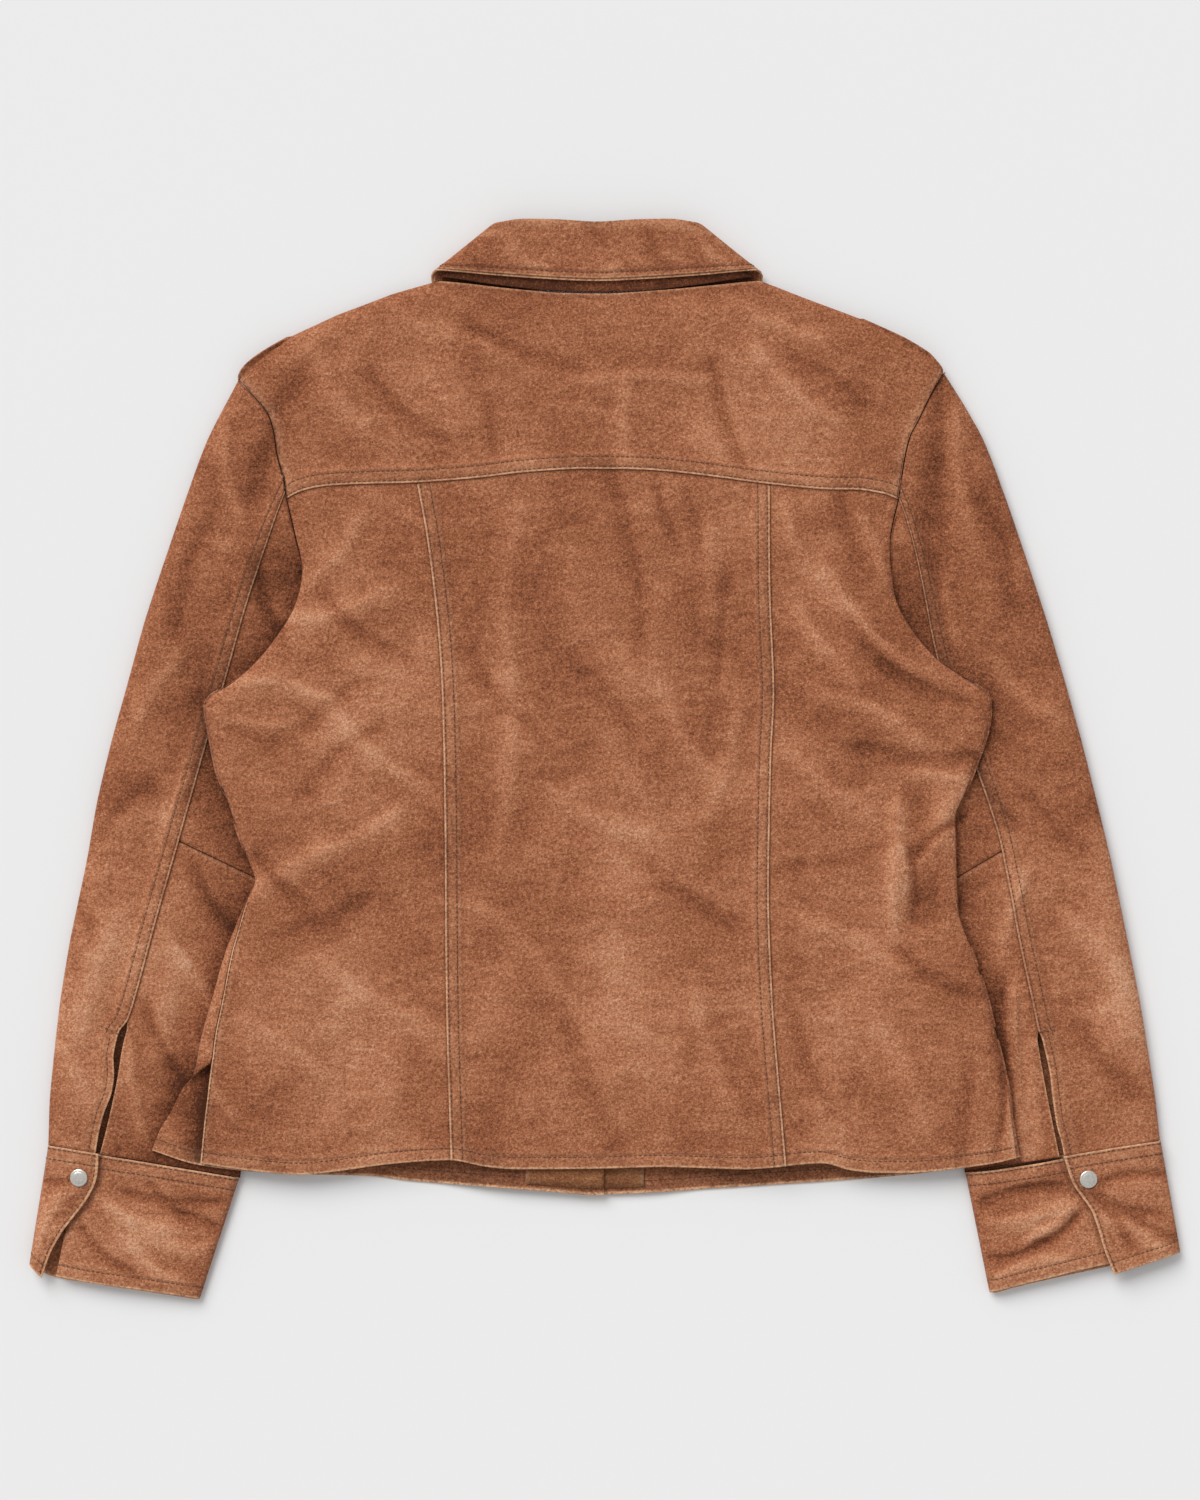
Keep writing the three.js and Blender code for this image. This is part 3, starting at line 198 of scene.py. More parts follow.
# %% [markdown]
# These are the jacket's own lines, first the body's two sides. Left and right differ, because no
# one lays a jacket down evenly. Each side table is a list of (y, x), from the shoulder's tip down
# the armhole to the underarm, and on down the side fold to the hem.
# %% The body's outline
SIDES = ("left", "right")
ACROSS = {"left": -1, "right": 1}
HEM_Y, YOKE_Y = -268, 171.5
VENT_TOP_Y, FLAP_TOP_Y = -200.5, -211.5
UNDERARM = {"left": (-199.5, 124), "right": (192.5, 104)}
SHOULDER_TIP = {"left": (-242, 249), "right": (224, 254.5)}
FRONT_EDGE = {"left": -0.5, "right": -26}
FACING_EDGE = {"left": -52, "right": 26}
NECK_CENTRE_X = -5

BODY_EDGE = {
    "left": [
        (249, -242), (236.5, -230), (226.5, -222), (213.5, -218), (199.5, -216), (183, -211.5),
        (170, -209.5), (143.5, -203.5), (124, -199.5), (100, -204.5), (81.5, -215), (63, -230),
        (50, -245), (39.5, -261.5), (33, -263.5), (10, -259.5), (-8, -256), (-29.5, -248),
        (-52.5, -240.5), (-69.5, -234), (-81, -230.5), (-93.5, -236), (-114, -244.5), (-131, -251),
        (-159.5, -259), (-186, -266.5), (-200.5, -269), (-211.5, -272),
    ],
    "right": [
        (254.5, 224), (240.5, 216), (222, 207), (211.5, 201.5), (194, 197.5), (171, 194),
        (155.5, 190.5), (142, 188.5), (122, 189.5), (104, 192.5), (87, 201), (64.5, 219.5),
        (52, 238), (43, 252), (33, 254.5), (17, 252.5), (-5.5, 245), (-25, 237), (-38, 231.5),
        (-60, 232), (-81, 232.5), (-104.5, 234), (-122.5, 240.5), (-140, 246.5), (-157, 252),
        (-182, 258), (-213.5, 265.5), (-239, 269.5), (-263.5, 273),
    ],
}
VENT_FRONT_EDGE = [
    (-211.5, -272), (-218, -278), (-235.5, -286), (-248, -292.5), (-262, -297), (-270, -299),
]
BACK_VENT_EDGE = [(-200.5, -258.6), (-225, -261.5), (-240, -263.5), (-270, -266.5)]
print(sum(len(rows) for rows in BODY_EDGE.values()), "places on the body's two sides")

# %% [markdown]
# Near the hem both sides are slit by a vent. The side seam lies just inside the fold and moves in
# towards the vent. The hems and the yoke's seam cross the body, so they are lists of (x, y).
# %% The vents, the hems and the yoke
SIDE_SEAM_INSET = {
    "left": [
        (124, 0.08), (-80, 0.08), (-96, 0.6), (-106, 1.8), (-135, 5), (-170, 8), (-200.5, 10),
        (-204, 6), (-208, 2), (-211.5, 0.3), (-400, 0.3),
    ],
    "right": [(104, 0.08), (-205, 0.08), (-225, 0.6), (-270, 1.6), (-400, 1.6)],
}
BACK_HEM = [
    (-266.5, -267.5), (-241, -271.5), (-201.5, -275), (-178, -273), (-141.5, -268), (-100.5, -265.5),
    (-80, -269.5), (-58, -271.5), (0, -271), (38, -270), (94, -271.5), (144, -267.5), (161.5, -272),
    (181, -274), (210, -273.5), (256.5, -267.5), (273, -263.5),
]
FRONT_HEM = [
    (-299, -259), (-267, -269), (-201.5, -275.5), (-153.5, -277), (-129.5, -280), (-81.5, -283.5),
    (-33.5, -287), (-7.5, -289), (26, -288), (74, -285), (152, -280), (200.5, -276),
    (234.5, -270.5), (273, -263.5),
]
YOKE_SEAM = [
    (-209.8, 171.5), (-199, 176.5), (-185, 179.5), (-160, 181), (-125, 182), (-84.5, 185),
    (-54.5, 188.5), (-15, 191), (25, 190.5), (58.5, 187.5), (104, 181.5), (145, 177.5),
    (166, 177.3), (184, 174.5), (194, 171),
]
# Where each column of the yoke starts on its seam, and the (x, y) where it ends above.
YOKE_TOP = [
    (-209.8, -242, 249), (-203.5, -235, 256), (-196, -227, 263.5), (-178, -205, 279),
    (-155, -176, 292.5), (-130, -140, 306), (-108, -110, 314.5), (-70, -69, 310), (-32, -30, 306.5),
    (5, 2, 306), (42, 40, 308.5), (76, 72, 311.5), (104, 103, 314.5), (130, 130, 304),
    (155, 165, 291), (177, 194, 276.5), (187, 210, 266.5), (194, 224, 254.5),
]
print("yoke seam with", len(YOKE_SEAM), "places")

# %% [markdown]
# Two seams run down the back and one down each sleeve. A sleeve has an outer edge, which is a
# fold, and an inner edge, which the body covers for most of its length.
# %% The back seams and the sleeves
BACK_SEAM = {
    "left": [
        (182, -123), (150, -117), (109, -111.5), (72.5, -108), (35, -106), (-40, -104.5),
        (-160, -103.5), (-266, -100.5),
    ],
    "right": [
        (182, 108), (109, 108.5), (42, 111), (-2, 109), (-94, 107.5), (-160, 110), (-200, 113),
        (-269, 119),
    ],
}
SLEEVE_OUTER = {
    "left": [
        (249, -242), (209.5, -262.5), (170, -277), (130.5, -290.5), (91, -303.5), (51, -314.5),
        (11.5, -325.5), (-28, -335), (-67.5, -342), (-120.5, -353), (-160, -359.5), (-199.5, -364),
        (-226, -366.5), (-256, -367.5),
    ],
    "right": [
        (254.5, 224), (232, 238), (209.5, 250.5), (170, 265.5), (130.5, 279), (91, 292), (51, 304),
        (11.5, 315), (-28, 325), (-67.5, 334.5), (-120.5, 345.5), (-160, 353.5), (-199.5, 360),
        (-226, 364), (-253, 367),
    ],
}
SLEEVE_INNER = {
    "left": [
        (124, -199.5), (91, -186.5), (51, -176), (11.5, -171.5), (-28, -175), (-94, -193.5),
        (-160, -217.5), (-219.5, -230), (-277.5, -241),
    ],
    "right": [
        (104, 192.5), (71, 180.5), (38, 168.5), (5, 163.5), (-34.5, 167), (-94, 188),
        (-160, 211.5), (-219.5, 225), (-274, 238.5),
    ],
}
SLEEVE_SEAM = {
    "left": [
        (176, -210.5), (153.5, -219), (103.5, -236), (46, -252.5), (16.5, -261.5), (-50, -280),
        (-110, -297), (-161.5, -311), (-185, -319), (-213.5, -324), (-238.5, -329.5), (-262, -335.5),
    ],
    "right": [
        (176, 192.5), (155.5, 200), (120, 209), (68.5, 219.5), (28, 231.5), (-5.5, 245.5),
        (-49.5, 260), (-81, 266.5), (-122.5, 274.5), (-179, 286.5), (-217.5, 293.5), (-262, 302.5),
    ],
}
print("sleeve seams with", len(SLEEVE_SEAM["left"]), "and", len(SLEEVE_SEAM["right"]), "places")

# %% [markdown]
# Every table becomes a function that reads a place anywhere along its line. The folds, armholes
# and shoulders are also kept as lines of points, to measure distances from.
# %% Curves through the tables
body_edge = {side: curve_through(BODY_EDGE[side]) for side in SIDES}
vent_front_edge = curve_through(VENT_FRONT_EDGE)
back_vent_edge = curve_through(BACK_VENT_EDGE)
seam_inset = {side: curve_through(SIDE_SEAM_INSET[side]) for side in SIDES}
back_hem, front_hem, yoke_seam = map(curve_through, (BACK_HEM, FRONT_HEM, YOKE_SEAM))
back_seam = {side: curve_through(BACK_SEAM[side]) for side in SIDES}
sleeve_outer = {side: curve_through(SLEEVE_OUTER[side]) for side in SIDES}
sleeve_inner = {side: curve_through(SLEEVE_INNER[side]) for side in SIDES}
sleeve_seam = {side: curve_through(SLEEVE_SEAM[side]) for side in SIDES}


def swap(pairs):
    return [(b, a) for a, b in pairs]


FOLD_LINE, ARMHOLE, COVER = {}, {}, {}
for side in SIDES:
    underarm_y = UNDERARM[side][1]
    ARMHOLE[side] = swap([row for row in BODY_EDGE[side] if row[0] >= underarm_y])
    FOLD_LINE[side] = swap([row for row in BODY_EDGE[side] if row[0] <= underarm_y])
    COVER[side] = FOLD_LINE[side] + (swap(VENT_FRONT_EDGE[1:]) if side == "left" else [])
SHOULDER = {"left": [c[1:] for c in YOKE_TOP[:7]], "right": [c[1:] for c in YOKE_TOP[12:]]}
NECK_SEAM = [c[1:] for c in YOKE_TOP[6:13]]
chest = UNDERARM["right"][0] - UNDERARM["left"][0]
print("underarm to underarm", chest, "mm; yoke to hem", YOKE_Y - HEM_Y, "mm")

# %% [markdown]
# Suede that has been worn keeps its creases. Each is one line below: where it starts and ends,
# how high it stands or how deep it sinks, how wide it is and how far it bows sideways. They are
# placed from the photograph, some long and soft, some short and sharp, because creases
# made by an even noise look like crushed paper. The folds come first, then the back's creases.
# %% Creases of the back
# (x, y, x2, y2, height, width, bow)
MAIN_FOLDS = [
    (230, -34, 200, -75, 3, 10, 0),
    (194, -40, 193, -94, 2.6, 8, 0),
    (206, -30, 214, -100, -2, 9, 0),
    (-226, -84, -190, -66, 2.4, 9, 0),
    (-220, -70, -196, -100, -1.6, 9, 0),
    (-196, 253, -214, 236, -2, 9, 0),
    (157, 169, 167, 130, -1.4, 8, 0),
    (69, 146, 72, 94, 1.4, 7, 0),
    (-150, -272, -146, -222, 1.8, 14, 0),
    (150, -268, 146, -226, 1.6, 12, 0),
    (-76, -270, -74, -240, -1.4, 10, 0),
    (20, 120, 12, -150, 1.2, 34, 0),
]
BACK_CREASES = [
    (263, -206, 258, -262, -1.6, 3, -3),
    (267, -212, 271, -264, 0.9, 3, 1),
    (-83, 283, -19, 259, -0.8, 6, 3),
    (-8, 249, 76, 247, 0.8, 5, -5),
    (-74, 229, -72, 202, -0.9, 5, 1),
    (74, 249, 91, 196, -1.1, 7, 2),
    (15, 240, 15, 200, 0.9, 7, 2),
    (-122, 285, -60, 262, 0.7, 6, -4),
    (-150, 250, -108, 212, -1.0, 8, 5),
    (105, 264, 152, 224, 0.9, 7, 4),
    (128, 262, 168, 236, -0.8, 6, -3),
    (92, 300, 140, 277, 0.7, 7, 3),
    (-188, 262, -160, 222, 0.8, 9, 4),
    (-57, 150, -62, 60, 0.9, 9, 6),
    (-62, 40, -70, -60, 0.8, 10, -5),
    (5, 186, 24, 84, -0.9, 9, -5),
    (36, 176, 44, 150, -1.0, 5, 1),
    (56, 170, 62, 140, -0.8, 5, -2),
    (-181, 104, -135, 70, -1.0, 8, 4),
    (-205, 96, -150, 108, 1.1, 9, 6),
    (-236, 52, -190, 40, 1.2, 8, -4),
    (-180, 36, -128, -12, 1.0, 9, 5),
    (-214, 14, -170, 44, -0.9, 8, 4),
    (-196, -20, -150, 20, -0.8, 7, -4),
    (-186, -60, -138, -34, 0.9, 8, 4),
    (-200, -110, -160, -92, -0.9, 8, 3),
    (-176, -140, -122, -172, 0.8, 10, 5),
    (-232, -176, -190, -204, 0.7, 9, -4),
    (-86, 66, -46, 20, -0.8, 8, 4),
    (-18, 62, 22, 8, -0.7, 9, -5),
    (40, 40, 74, -12, 0.8, 9, 4),
    (82, 120, 76, 60, -0.9, 6, 2),
    (88, 30, 70, -36, 0.8, 8, -3),
    (-38, -20, 24, -46, 0.7, 10, 4),
    (30, -70, 80, -104, -0.8, 9, 4),
    (-80, -100, -36, -146, 0.7, 11, -5),
    (62, -160, 84, -226, 0.8, 9, 3),
    (-20, -180, 8, -250, -0.7, 12, 4),
    (130, 96, 158, 60, 0.9, 8, 3),
    (168, 84, 208, 50, -1.2, 8, 5),
    (150, 40, 204, 14, 1.1, 9, -5),
    (172, 8, 236, 2, -1.0, 8, 4),
    (128, 0, 168, -30, 0.8, 9, 4),
    (206, -10, 236, -16, 1.0, 6, -2),
    (126, -70, 172, -60, -0.8, 8, 3),
    (140, -110, 186, -132, 0.8, 10, -4),
    (200, -132, 236, -152, -0.8, 8, 3),
    (128, -176, 152, -232, -0.9, 8, 4),
    (184, -180, 210, -238, 0.7, 11, -4),
    (242, -206, 238, -262, -1.0, 7, 2),
    (-118, 150, -150, 168, 0.7, 6, 2),
    (-160, 160, -190, 120, 0.9, 8, -4),
    (122, 160, 140, 120, 0.8, 7, 3),
    (168, 160, 184, 118, 1.0, 7, -3),
    (234, -42, 205, -66, -2.0, 4.5, 3),
    (202, -62, 205, -104, -1.8, 4, -2),
    (193.5, -28, 191.5, -114, 1.2, 3.2, 1),
    (186, 60, 232, 40, -1.3, 5, 3),
    (150, 120, 196, 66, 1.1, 7, 5),
    (-226, -66, -196, -96, -1.2, 5, 3),
    (-252, 30, -214, 22, 0.9, 6, 2),
]
print(len(MAIN_FOLDS), "folds and", len(BACK_CREASES), "creases on the back")

# %% [markdown]
# The sleeves were bent at the elbow and pushed up in wear, so their creases run slantwise and
# gather beside the body. The numbers in each line mean the same as before.
# %% Creases of the sleeves
MAIN_SLEEVE_FOLDS = [
    (-220, 211, -231, 172, -2, 8, 0),
    (-330, -120, -344, -176, 1.6, 9, 0),
    (-286, -150, -300, -226, 1.4, 10, 0),
    (222, 240, 216, 150, -2.2, 9, 0),
    (216, 150, 228, 76, -1.8, 9, 0),
    (270, -150, 278, -262, 1.8, 8, 0),
    (330, -60, 344, -170, 1.3, 12, 0),
]
SLEEVE_CREASES = [
    (271, -160, 280, -258, 2.8, 3.4, 2),
    (-250, 214, -240, 160, 0.9, 7, 3),
    (-262, 150, -280, 92, -0.9, 8, 4),
    (-226, 120, -214, 84, -1.4, 7, 3),
    (-284, 60, -308, 20, 0.9, 8, 3),
    (-300, -20, -330, -52, -0.8, 8, 4),
    (-272, 10, -288, -40, 1.0, 8, -3),
    (-268, -76, -244, -112, -1.2, 6, 3),
    (-282, -126, -256, -176, 1.3, 6, -4),
    (-300, -168, -276, -214, -1.2, 6, 3),
    (-268, -190, -246, -232, 1.1, 6, 3),
    (-312, -196, -304, -246, 0.9, 6, 2),
    (-352, -70, -336, -112, -0.9, 8, 3),
    (-360, -190, -340, -226, 0.8, 8, -3),
    (232, 218, 240, 160, 0.9, 7, 3),
    (250, 170, 268, 108, -0.9, 8, -4),
    (226, 116, 234, 76, 1.1, 6, 2),
    (262, 60, 296, 30, 0.9, 9, 4),
    (246, -2, 268, -38, -1.1, 7, 3),
    (286, -30, 318, -60, -0.8, 9, 4),
    (276, -84, 262, -140, 1.2, 7, 3),
    (262, -150, 268, -210, -1.4, 7, 3),
    (284, -190, 288, -250, 0.9, 6, 2),
    (310, -110, 338, -140, 0.8, 9, -4),
    (318, -180, 346, -214, -0.8, 9, 4),
]
print(len(MAIN_SLEEVE_FOLDS), "folds and", len(SLEEVE_CREASES), "creases on the sleeves")

# %% [markdown]
# The cuffs are crushed between the snap and the wrist, so theirs are the sharpest creases. The
# underside lies on the table and hardly shows, and has lower ones of the same kind.
# %% Creases of the cuffs and the underside
LEFT_CUFF_CREASES = [
    (-298, -283, -279, -301, -1.9, 3.6, 2),
    (-314, -287, -252, -292, -1.5, 3.6, 3),
    (-279, -301, -254, -312, -2.0, 3.4, -2),
    (-322, -298, -290, -310, 1.5, 6, 3),
    (-344, -310, -312, -339, -1.7, 4, 4),
    (-296, -316, -262, -322, 1.2, 8, 4),
    (-310, -322, -282, -344, 1.0, 7, 4),
    (-366, -279, -350, -276, -1.3, 4, 2),
    (-340, -286, -352, -300, -1.0, 4, 2),
    (-362, -296, -372, -322, 1.0, 6, 2),
]
RIGHT_CUFF_CREASES = [
    (242, -296, 304, -282, -1.9, 4.5, -4),
    (250, -306, 300, -296, 1.4, 7, 3),
    (249, -330, 290, -320, -2.0, 4, 4),
    (286, -320, 310, -303, -2.3, 4, 3),
    (284, -314, 306, -298, 1.6, 5, 3),
    (325, -280, 368, -275, -1.4, 4, -3),
    (319, -287, 347, -320, -1.5, 4.5, -4),
    (326, -288, 364, -300, -1.1, 5, 3),
    (348, -301, 376, -316, -1.2, 4, 2),
    (336, -306, 366, -322, 1.0, 6, -3),
    (262, -342, 300, -330, 1.0, 6, -4),
]
UNDERSIDE_CREASES = [
    (-160, 120, -110, 60, 0.8, 9, 4),
    (-150, 10, -124, -60, 0.7, 10, -4),
    (-186, -150, -130, -120, 0.8, 9, 4),
    (-140, -190, -150, -250, 0.7, 10, 3),
    (64, 150, 120, 100, 0.7, 9, 4),
    (80, 60, 150, 30, 0.9, 9, -4),
    (70, -40, 120, -90, 0.6, 11, 4),
    (90, -120, 150, -150, 0.8, 9, 4),
    (60, -200, 80, -260, 0.7, 10, 3),
    (-290, 120, -262, 60, 0.9, 8, 4),
    (-300, -10, -250, -40, 0.7, 9, -4),
    (-330, -110, -280, -150, 0.8, 8, 4),
    (-340, -200, -290, -230, 0.7, 7, 3),
    (240, 160, 262, 100, 0.9, 8, 4),
    (230, 30, 290, 0, 0.7, 9, 4),
    (270, -70, 320, -110, 0.8, 9, -4),
    (280, -170, 340, -200, 0.7, 8, 4),
    (-340, -290, -280, -310, 0.8, 6, 4),
    (270, -300, 340, -310, 0.8, 6, -4),
]
TOP_CREASES = BACK_CREASES + SLEEVE_CREASES + LEFT_CUFF_CREASES + RIGHT_CUFF_CREASES
print(len(MAIN_FOLDS + MAIN_SLEEVE_FOLDS), "main folds,", len(TOP_CREASES), "creases on top")

# %% [markdown]
# One function reads all these tables. A crease is steeper on one side than on the other, like a
# small wave that has been pushed over, and it dies away at both ends. A bow of 0 marks a plain
# soft fold. Slow waves a few centimetres long keep the flat parts from looking pressed.
# %% Heights of the creases
CREASE_STRENGTH = 1.25
CREASE_SHARPNESS = 0.72
GENTLE_SIDE, STEEP_SIDE, CREASE_END = 1.35, 0.65, 1.6


def creases(table, x, y):
    """Height of the creases at each point: sharper on one side, and dying away at both ends."""
    total = np.zeros(np.broadcast(x, y).shape)
    for x1, y1, x2, y2, height, width, bow in table:
        length = math.hypot(x2 - x1, y2 - y1)
        along = ((x - x1) * (x2 - x1) + (y - y1) * (y2 - y1)) / length
        aside = ((x - x1) * (y2 - y1) - (y - y1) * (x2 - x1)) / length
        share = np.clip(along / length, 0, 1)
        aside = aside - bow * 4 * share * (1 - share)
        steep, strength = width, 1.0
        if bow:
            steep = np.where(aside > 0, GENTLE_SIDE, STEEP_SIDE) * CREASE_SHARPNESS * width
            strength = CREASE_STRENGTH
        past = np.maximum(0, np.maximum(-along, along - length))
        total += strength * height * np.exp(-((aside / steep) ** 2) - (past / (CREASE_END * width)) ** 2)
    return total


# (wave length, direction in degrees, height, phase)
WAVES = [
    (150, 20, 0.35, 0.4), (96, 74, 0.28, 2.1), (67, 128, 0.22, 4.0), (48, 41, 0.14, 1.3),
    (37, 101, 0.1, 5.2),
]


def waves(x, y):
    total = np.zeros(np.broadcast(x, y).shape)
    for length, turn, height, phase in WAVES:
        along = x * math.cos(math.radians(turn)) + y * math.sin(math.radians(turn))
        drift = 0.6 * np.sin(along / (0.7 * length))
        total += height * np.sin(2 * math.pi * along / length + phase + drift)
    return total


def relief(x, y):
    return creases(TOP_CREASES, x, y) + waves(x, y)


print("relief at the middle of the back", round(float(relief(0, 0)), 2), "mm")

# %% [markdown]
# The jacket is two flattened tubes beside a third. Their upper and lower skins are heights over
# the table: a sleeve is lower where the body lies on it, the fronts rise over the sleeves and
# over the folded collar, and the back lies over them all. Near a fold both skins bend round to
# meet, and an ellipse gives that bend.
# %% Heights of the layers
SEAM = 0.3
LAYER = WALL + SEAM
COVER_MARGIN = 5
SLEEVE_UNDER_BODY, SLEEVE_FREE = 6.9, 11.2
BACK_HEIGHT, BACK_OVER_SLEEVE, BACK_AT_HEM, BACK_AT_NECK = 12.6, 2.4, 11.2, 10.6
FRONT_OVER_SLEEVE, FLAP_LIFT, SNAP_ROOM, COLLAR_ROOM = 7.6, 0.9, 1.9, 3.4
# Over how many millimetres the back comes down beside a sleeve, the hem, an armhole and the neck.
FADE_SLEEVE, FADE_HEM, FADE_ARM, FADE_NECK = 60, 60, 15, 22
HEM_FADE_FROM, CUFF_DROP, CUFF_TOP = -272, 1.1, -262
FRONT_FADE_SLEEVE, LAP_FROM, LAP_TO, NECK_LOW, COLLAR_HALF = 38, -118, 30, 220, 118
FLAP_CORNER = (-262, -200)


def outside_body(side, x, y):
    edge = body_edge[side](y)
    if side == "left":
        edge = np.where(y < FLAP_TOP_Y, vent_front_edge(y), edge)
    under = (y < UNDERARM[side][1]) & (ACROSS[side] * (x - edge) < 0)
    return np.where(under, 0, distance_to(COVER[side], x, y))


def sleeve_cover(side, x, y, reach):
    inner = sleeve_inner[side](np.maximum(y, -300))
    over = (y < UNDERARM[side][1]) & (ACROSS[side] * (x - inner) > 0)
    return np.where(over, 1, near(distance_to(swap(SLEEVE_INNER[side]), x, y), COVER_MARGIN, reach))


def from_armhole(side, x, y):
    return distance_to(ARMHOLE[side], x, y)


def of_both(choose, function, *place):
    """The larger or the smaller of what a function gives for the left and the right side."""
    return choose(function("left", *place), function("right", *place))


def back_top(x, y):
    cover = of_both(np.maximum, sleeve_cover, x, y, FADE_SLEEVE)
    open_height = BACK_HEIGHT + BACK_OVER_SLEEVE * cover + creases(MAIN_FOLDS, x, y)
    hem = mix(open_height, BACK_AT_HEM + cover, near(y, HEM_FADE_FROM, FADE_HEM))
    arm = of_both(np.minimum, from_armhole, x, y)
    joined = mix(hem, SLEEVE_FREE, np.exp(-arm / FADE_ARM))
    neck = distance_to(NECK_SEAM, x, y)
    joined = mix(joined, BACK_AT_NECK, np.exp(-neck / FADE_NECK))
    return joined + relief(x, y) * soften(neck / 20)


def front_bottom(x, y, on_top):
    cover = of_both(np.maximum, sleeve_cover, x, y, FRONT_FADE_SLEEVE)
    beside_neck = near(abs(x - NECK_CENTRE_X), COLLAR_HALF, 40)
    collar = COLLAR_ROOM * near(NECK_LOW - y, 0, 45) * beside_neck
    lap = np.maximum(SNAP_ROOM, collar) + 2 * LAYER
    band, flap = SNAP_ROOM * near(x, LAP_TO, 36), 0
    if on_top:
        band = lap * soften((x - LAP_FROM) / 60)
        flap = FLAP_LIFT * soften((FLAP_CORNER[0] - x) / 16) * soften((FLAP_CORNER[1] - y) / 12)
    level = np.maximum(np.maximum(FRONT_OVER_SLEEVE * cover + flap, collar), band)
    return level + creases(UNDERSIDE_CREASES, x, y) * soften(1 - level)


def sleeve_top(side):
    def height(x, y):
        free = outside_body(side, x, y)
        cuff = CUFF_DROP * near(y, CUFF_TOP, 50)
        level = mix(SLEEVE_UNDER_BODY, SLEEVE_FREE - cuff, soften(free / 42))
        folds = creases(MAIN_SLEEVE_FOLDS, x, y) * soften(free / 30)
        return level + folds + relief(x, y) * soften(free / 16)

    return height


def flat_bottom(x, y):
    return creases(UNDERSIDE_CREASES, x, y) + 0 * x


print("back over the empty body", round(float(back_top(60.0, 0.0)), 1), "mm")

# %% [markdown]
# A fold has a reach, which is how far in from its line the suede still bends. No fold is sharper
# than soft suede allows, so where the two skins are close the reach gets shorter too.
# %% Folds and skins
TIGHTEST = 1.35
SIDE_FOLD_REACH, SHOULDER_REACH, OUTER_FOLD_REACH, INNER_FOLD_REACH = 12, 14, 16, 7
BODY_FOLDS = [(FOLD_LINE[side], SIDE_FOLD_REACH) for side in SIDES]
BODY_FOLDS += [(SHOULDER[side], SHOULDER_REACH) for side in SIDES]
BODY = {
    "left": (back_top, lambda x, y: front_bottom(x, y, True), BODY_FOLDS),
    "right": (back_top, lambda x, y: front_bottom(x, y, False), BODY_FOLDS),
}
SLEEVE = {}
for side in SIDES:
    outer_fold = (swap(SLEEVE_OUTER[side]), OUTER_FOLD_REACH)
    inner_fold = (swap(SLEEVE_INNER[side]), INNER_FOLD_REACH)
    SLEEVE[side] = (sleeve_top(side), flat_bottom, [outer_fold, inner_fold])


def skin(tube, x, y, up):
    """Height of a tube's upper (up = 1) or lower (up = -1) skin, rounded towards its folds."""
    top, bottom, folds = tube
    found = [(*nearest(line, x, y), np.full(np.shape(x), reach)) for line, reach in folds]
    gaps = np.array([f[0] for f in found])
    k = gaps.argmin(0)
    gap, hit_x, hit_y, reach = (np.choose(k, [f[i] for f in found]) for i in range(4))
    high, low = top(hit_x, hit_y), bottom(hit_x, hit_y)
    half_height, middle = (high - low) / 2, (high + low) / 2
    reach = np.minimum(reach, np.maximum(half_height, 0.8) ** 2 / TIGHTEST)
    share = np.clip(gap / reach, 0, 1)
    lift = np.sqrt(1 - (1 - share) ** 2)
    surface = np.where(up > 0, top(x, y), bottom(x, y))
    return middle + (surface - middle) * lift


def fold_reach(side, y):
    """How far in from the side fold its rounded edge reaches."""
    y = np.minimum(y, UNDERARM[side][1])
    x = body_edge[side](y)
    top, bottom, _ = BODY[side]
    half_height = (top(x, y) - bottom(x, y)) / 2
    return np.maximum(np.minimum(SIDE_FOLD_REACH, half_height**2 / TIGHTEST), 1.5)


print("the left side fold bends over", round(float(fold_reach("left", -100.0)), 1), "mm")

# %% [markdown]
# A sewn piece is a wall over a grid of points. Its lower skin is the upper one moved in along the
# surface's own direction, so the suede keeps one thickness round every fold. Four numbers ride
# on each point for the finish: how worn it is; how dark it is at stitch lines and seams, with
# painted shade beside raised edges; the painted light on a ridge and painted shade in a trough;
# and its tone, which holds paler and darker nap and, beside and under other pieces, painted shade.
# %% Wear and directions
# Where years of wear left the nap paler or darker: (x, y, radius, tone).
WEAR = [
    (-160, 40, 60, 0.12), (-170, -190, 70, 0.1), (170, 20, 50, -0.08), (0, 60, 60, -0.06),
    (10, -180, 70, 0.07), (-262, 130, 45, -0.06), (-335, -160, 60, 0.18), (262, 150, 45, -0.02),
    (345, -170, 60, 0.14), (110, 230, 80, 0.08), (-80, 130, 50, -0.05), (-320, -310, 50, 0.2),
    (160, -170, 60, 0.07), (-150, 240, 60, 0.06), (310, -310, 50, 0.12), (-285, -130, 40, 0.08),
    (270, -80, 40, 0.1),
]


def hand_tone(x, y):
    total = 0
    for at_x, at_y, radius, tone in WEAR:
        total = total + tone * np.exp(-((x - at_x) ** 2 + (y - at_y) ** 2) / radius**2)
    return total


def directions(points):
    """Outward direction at each point of a grid, from its neighbours along and across."""
    along, across = np.gradient(points, axis=0), np.gradient(points, axis=1)
    out = np.cross(along, across)
    return out / np.maximum(np.linalg.norm(out, axis=2, keepdims=True), 1e-9)


print("the left cuff is paler by", round(float(hand_tone(-320, -310)), 2))

# %% [markdown]
# The wall has the grid's faces outside, the same ones turned over inside, and a rim of faces round
# the border. Each finished wall is kept in a table by its name, with the size that it would have
# laid flat, so that the stitches and the cutting sizes can be read from it later.
# %% A wall of suede
built = {}
MARKS = ("worn", "groove", "bend", "tone")


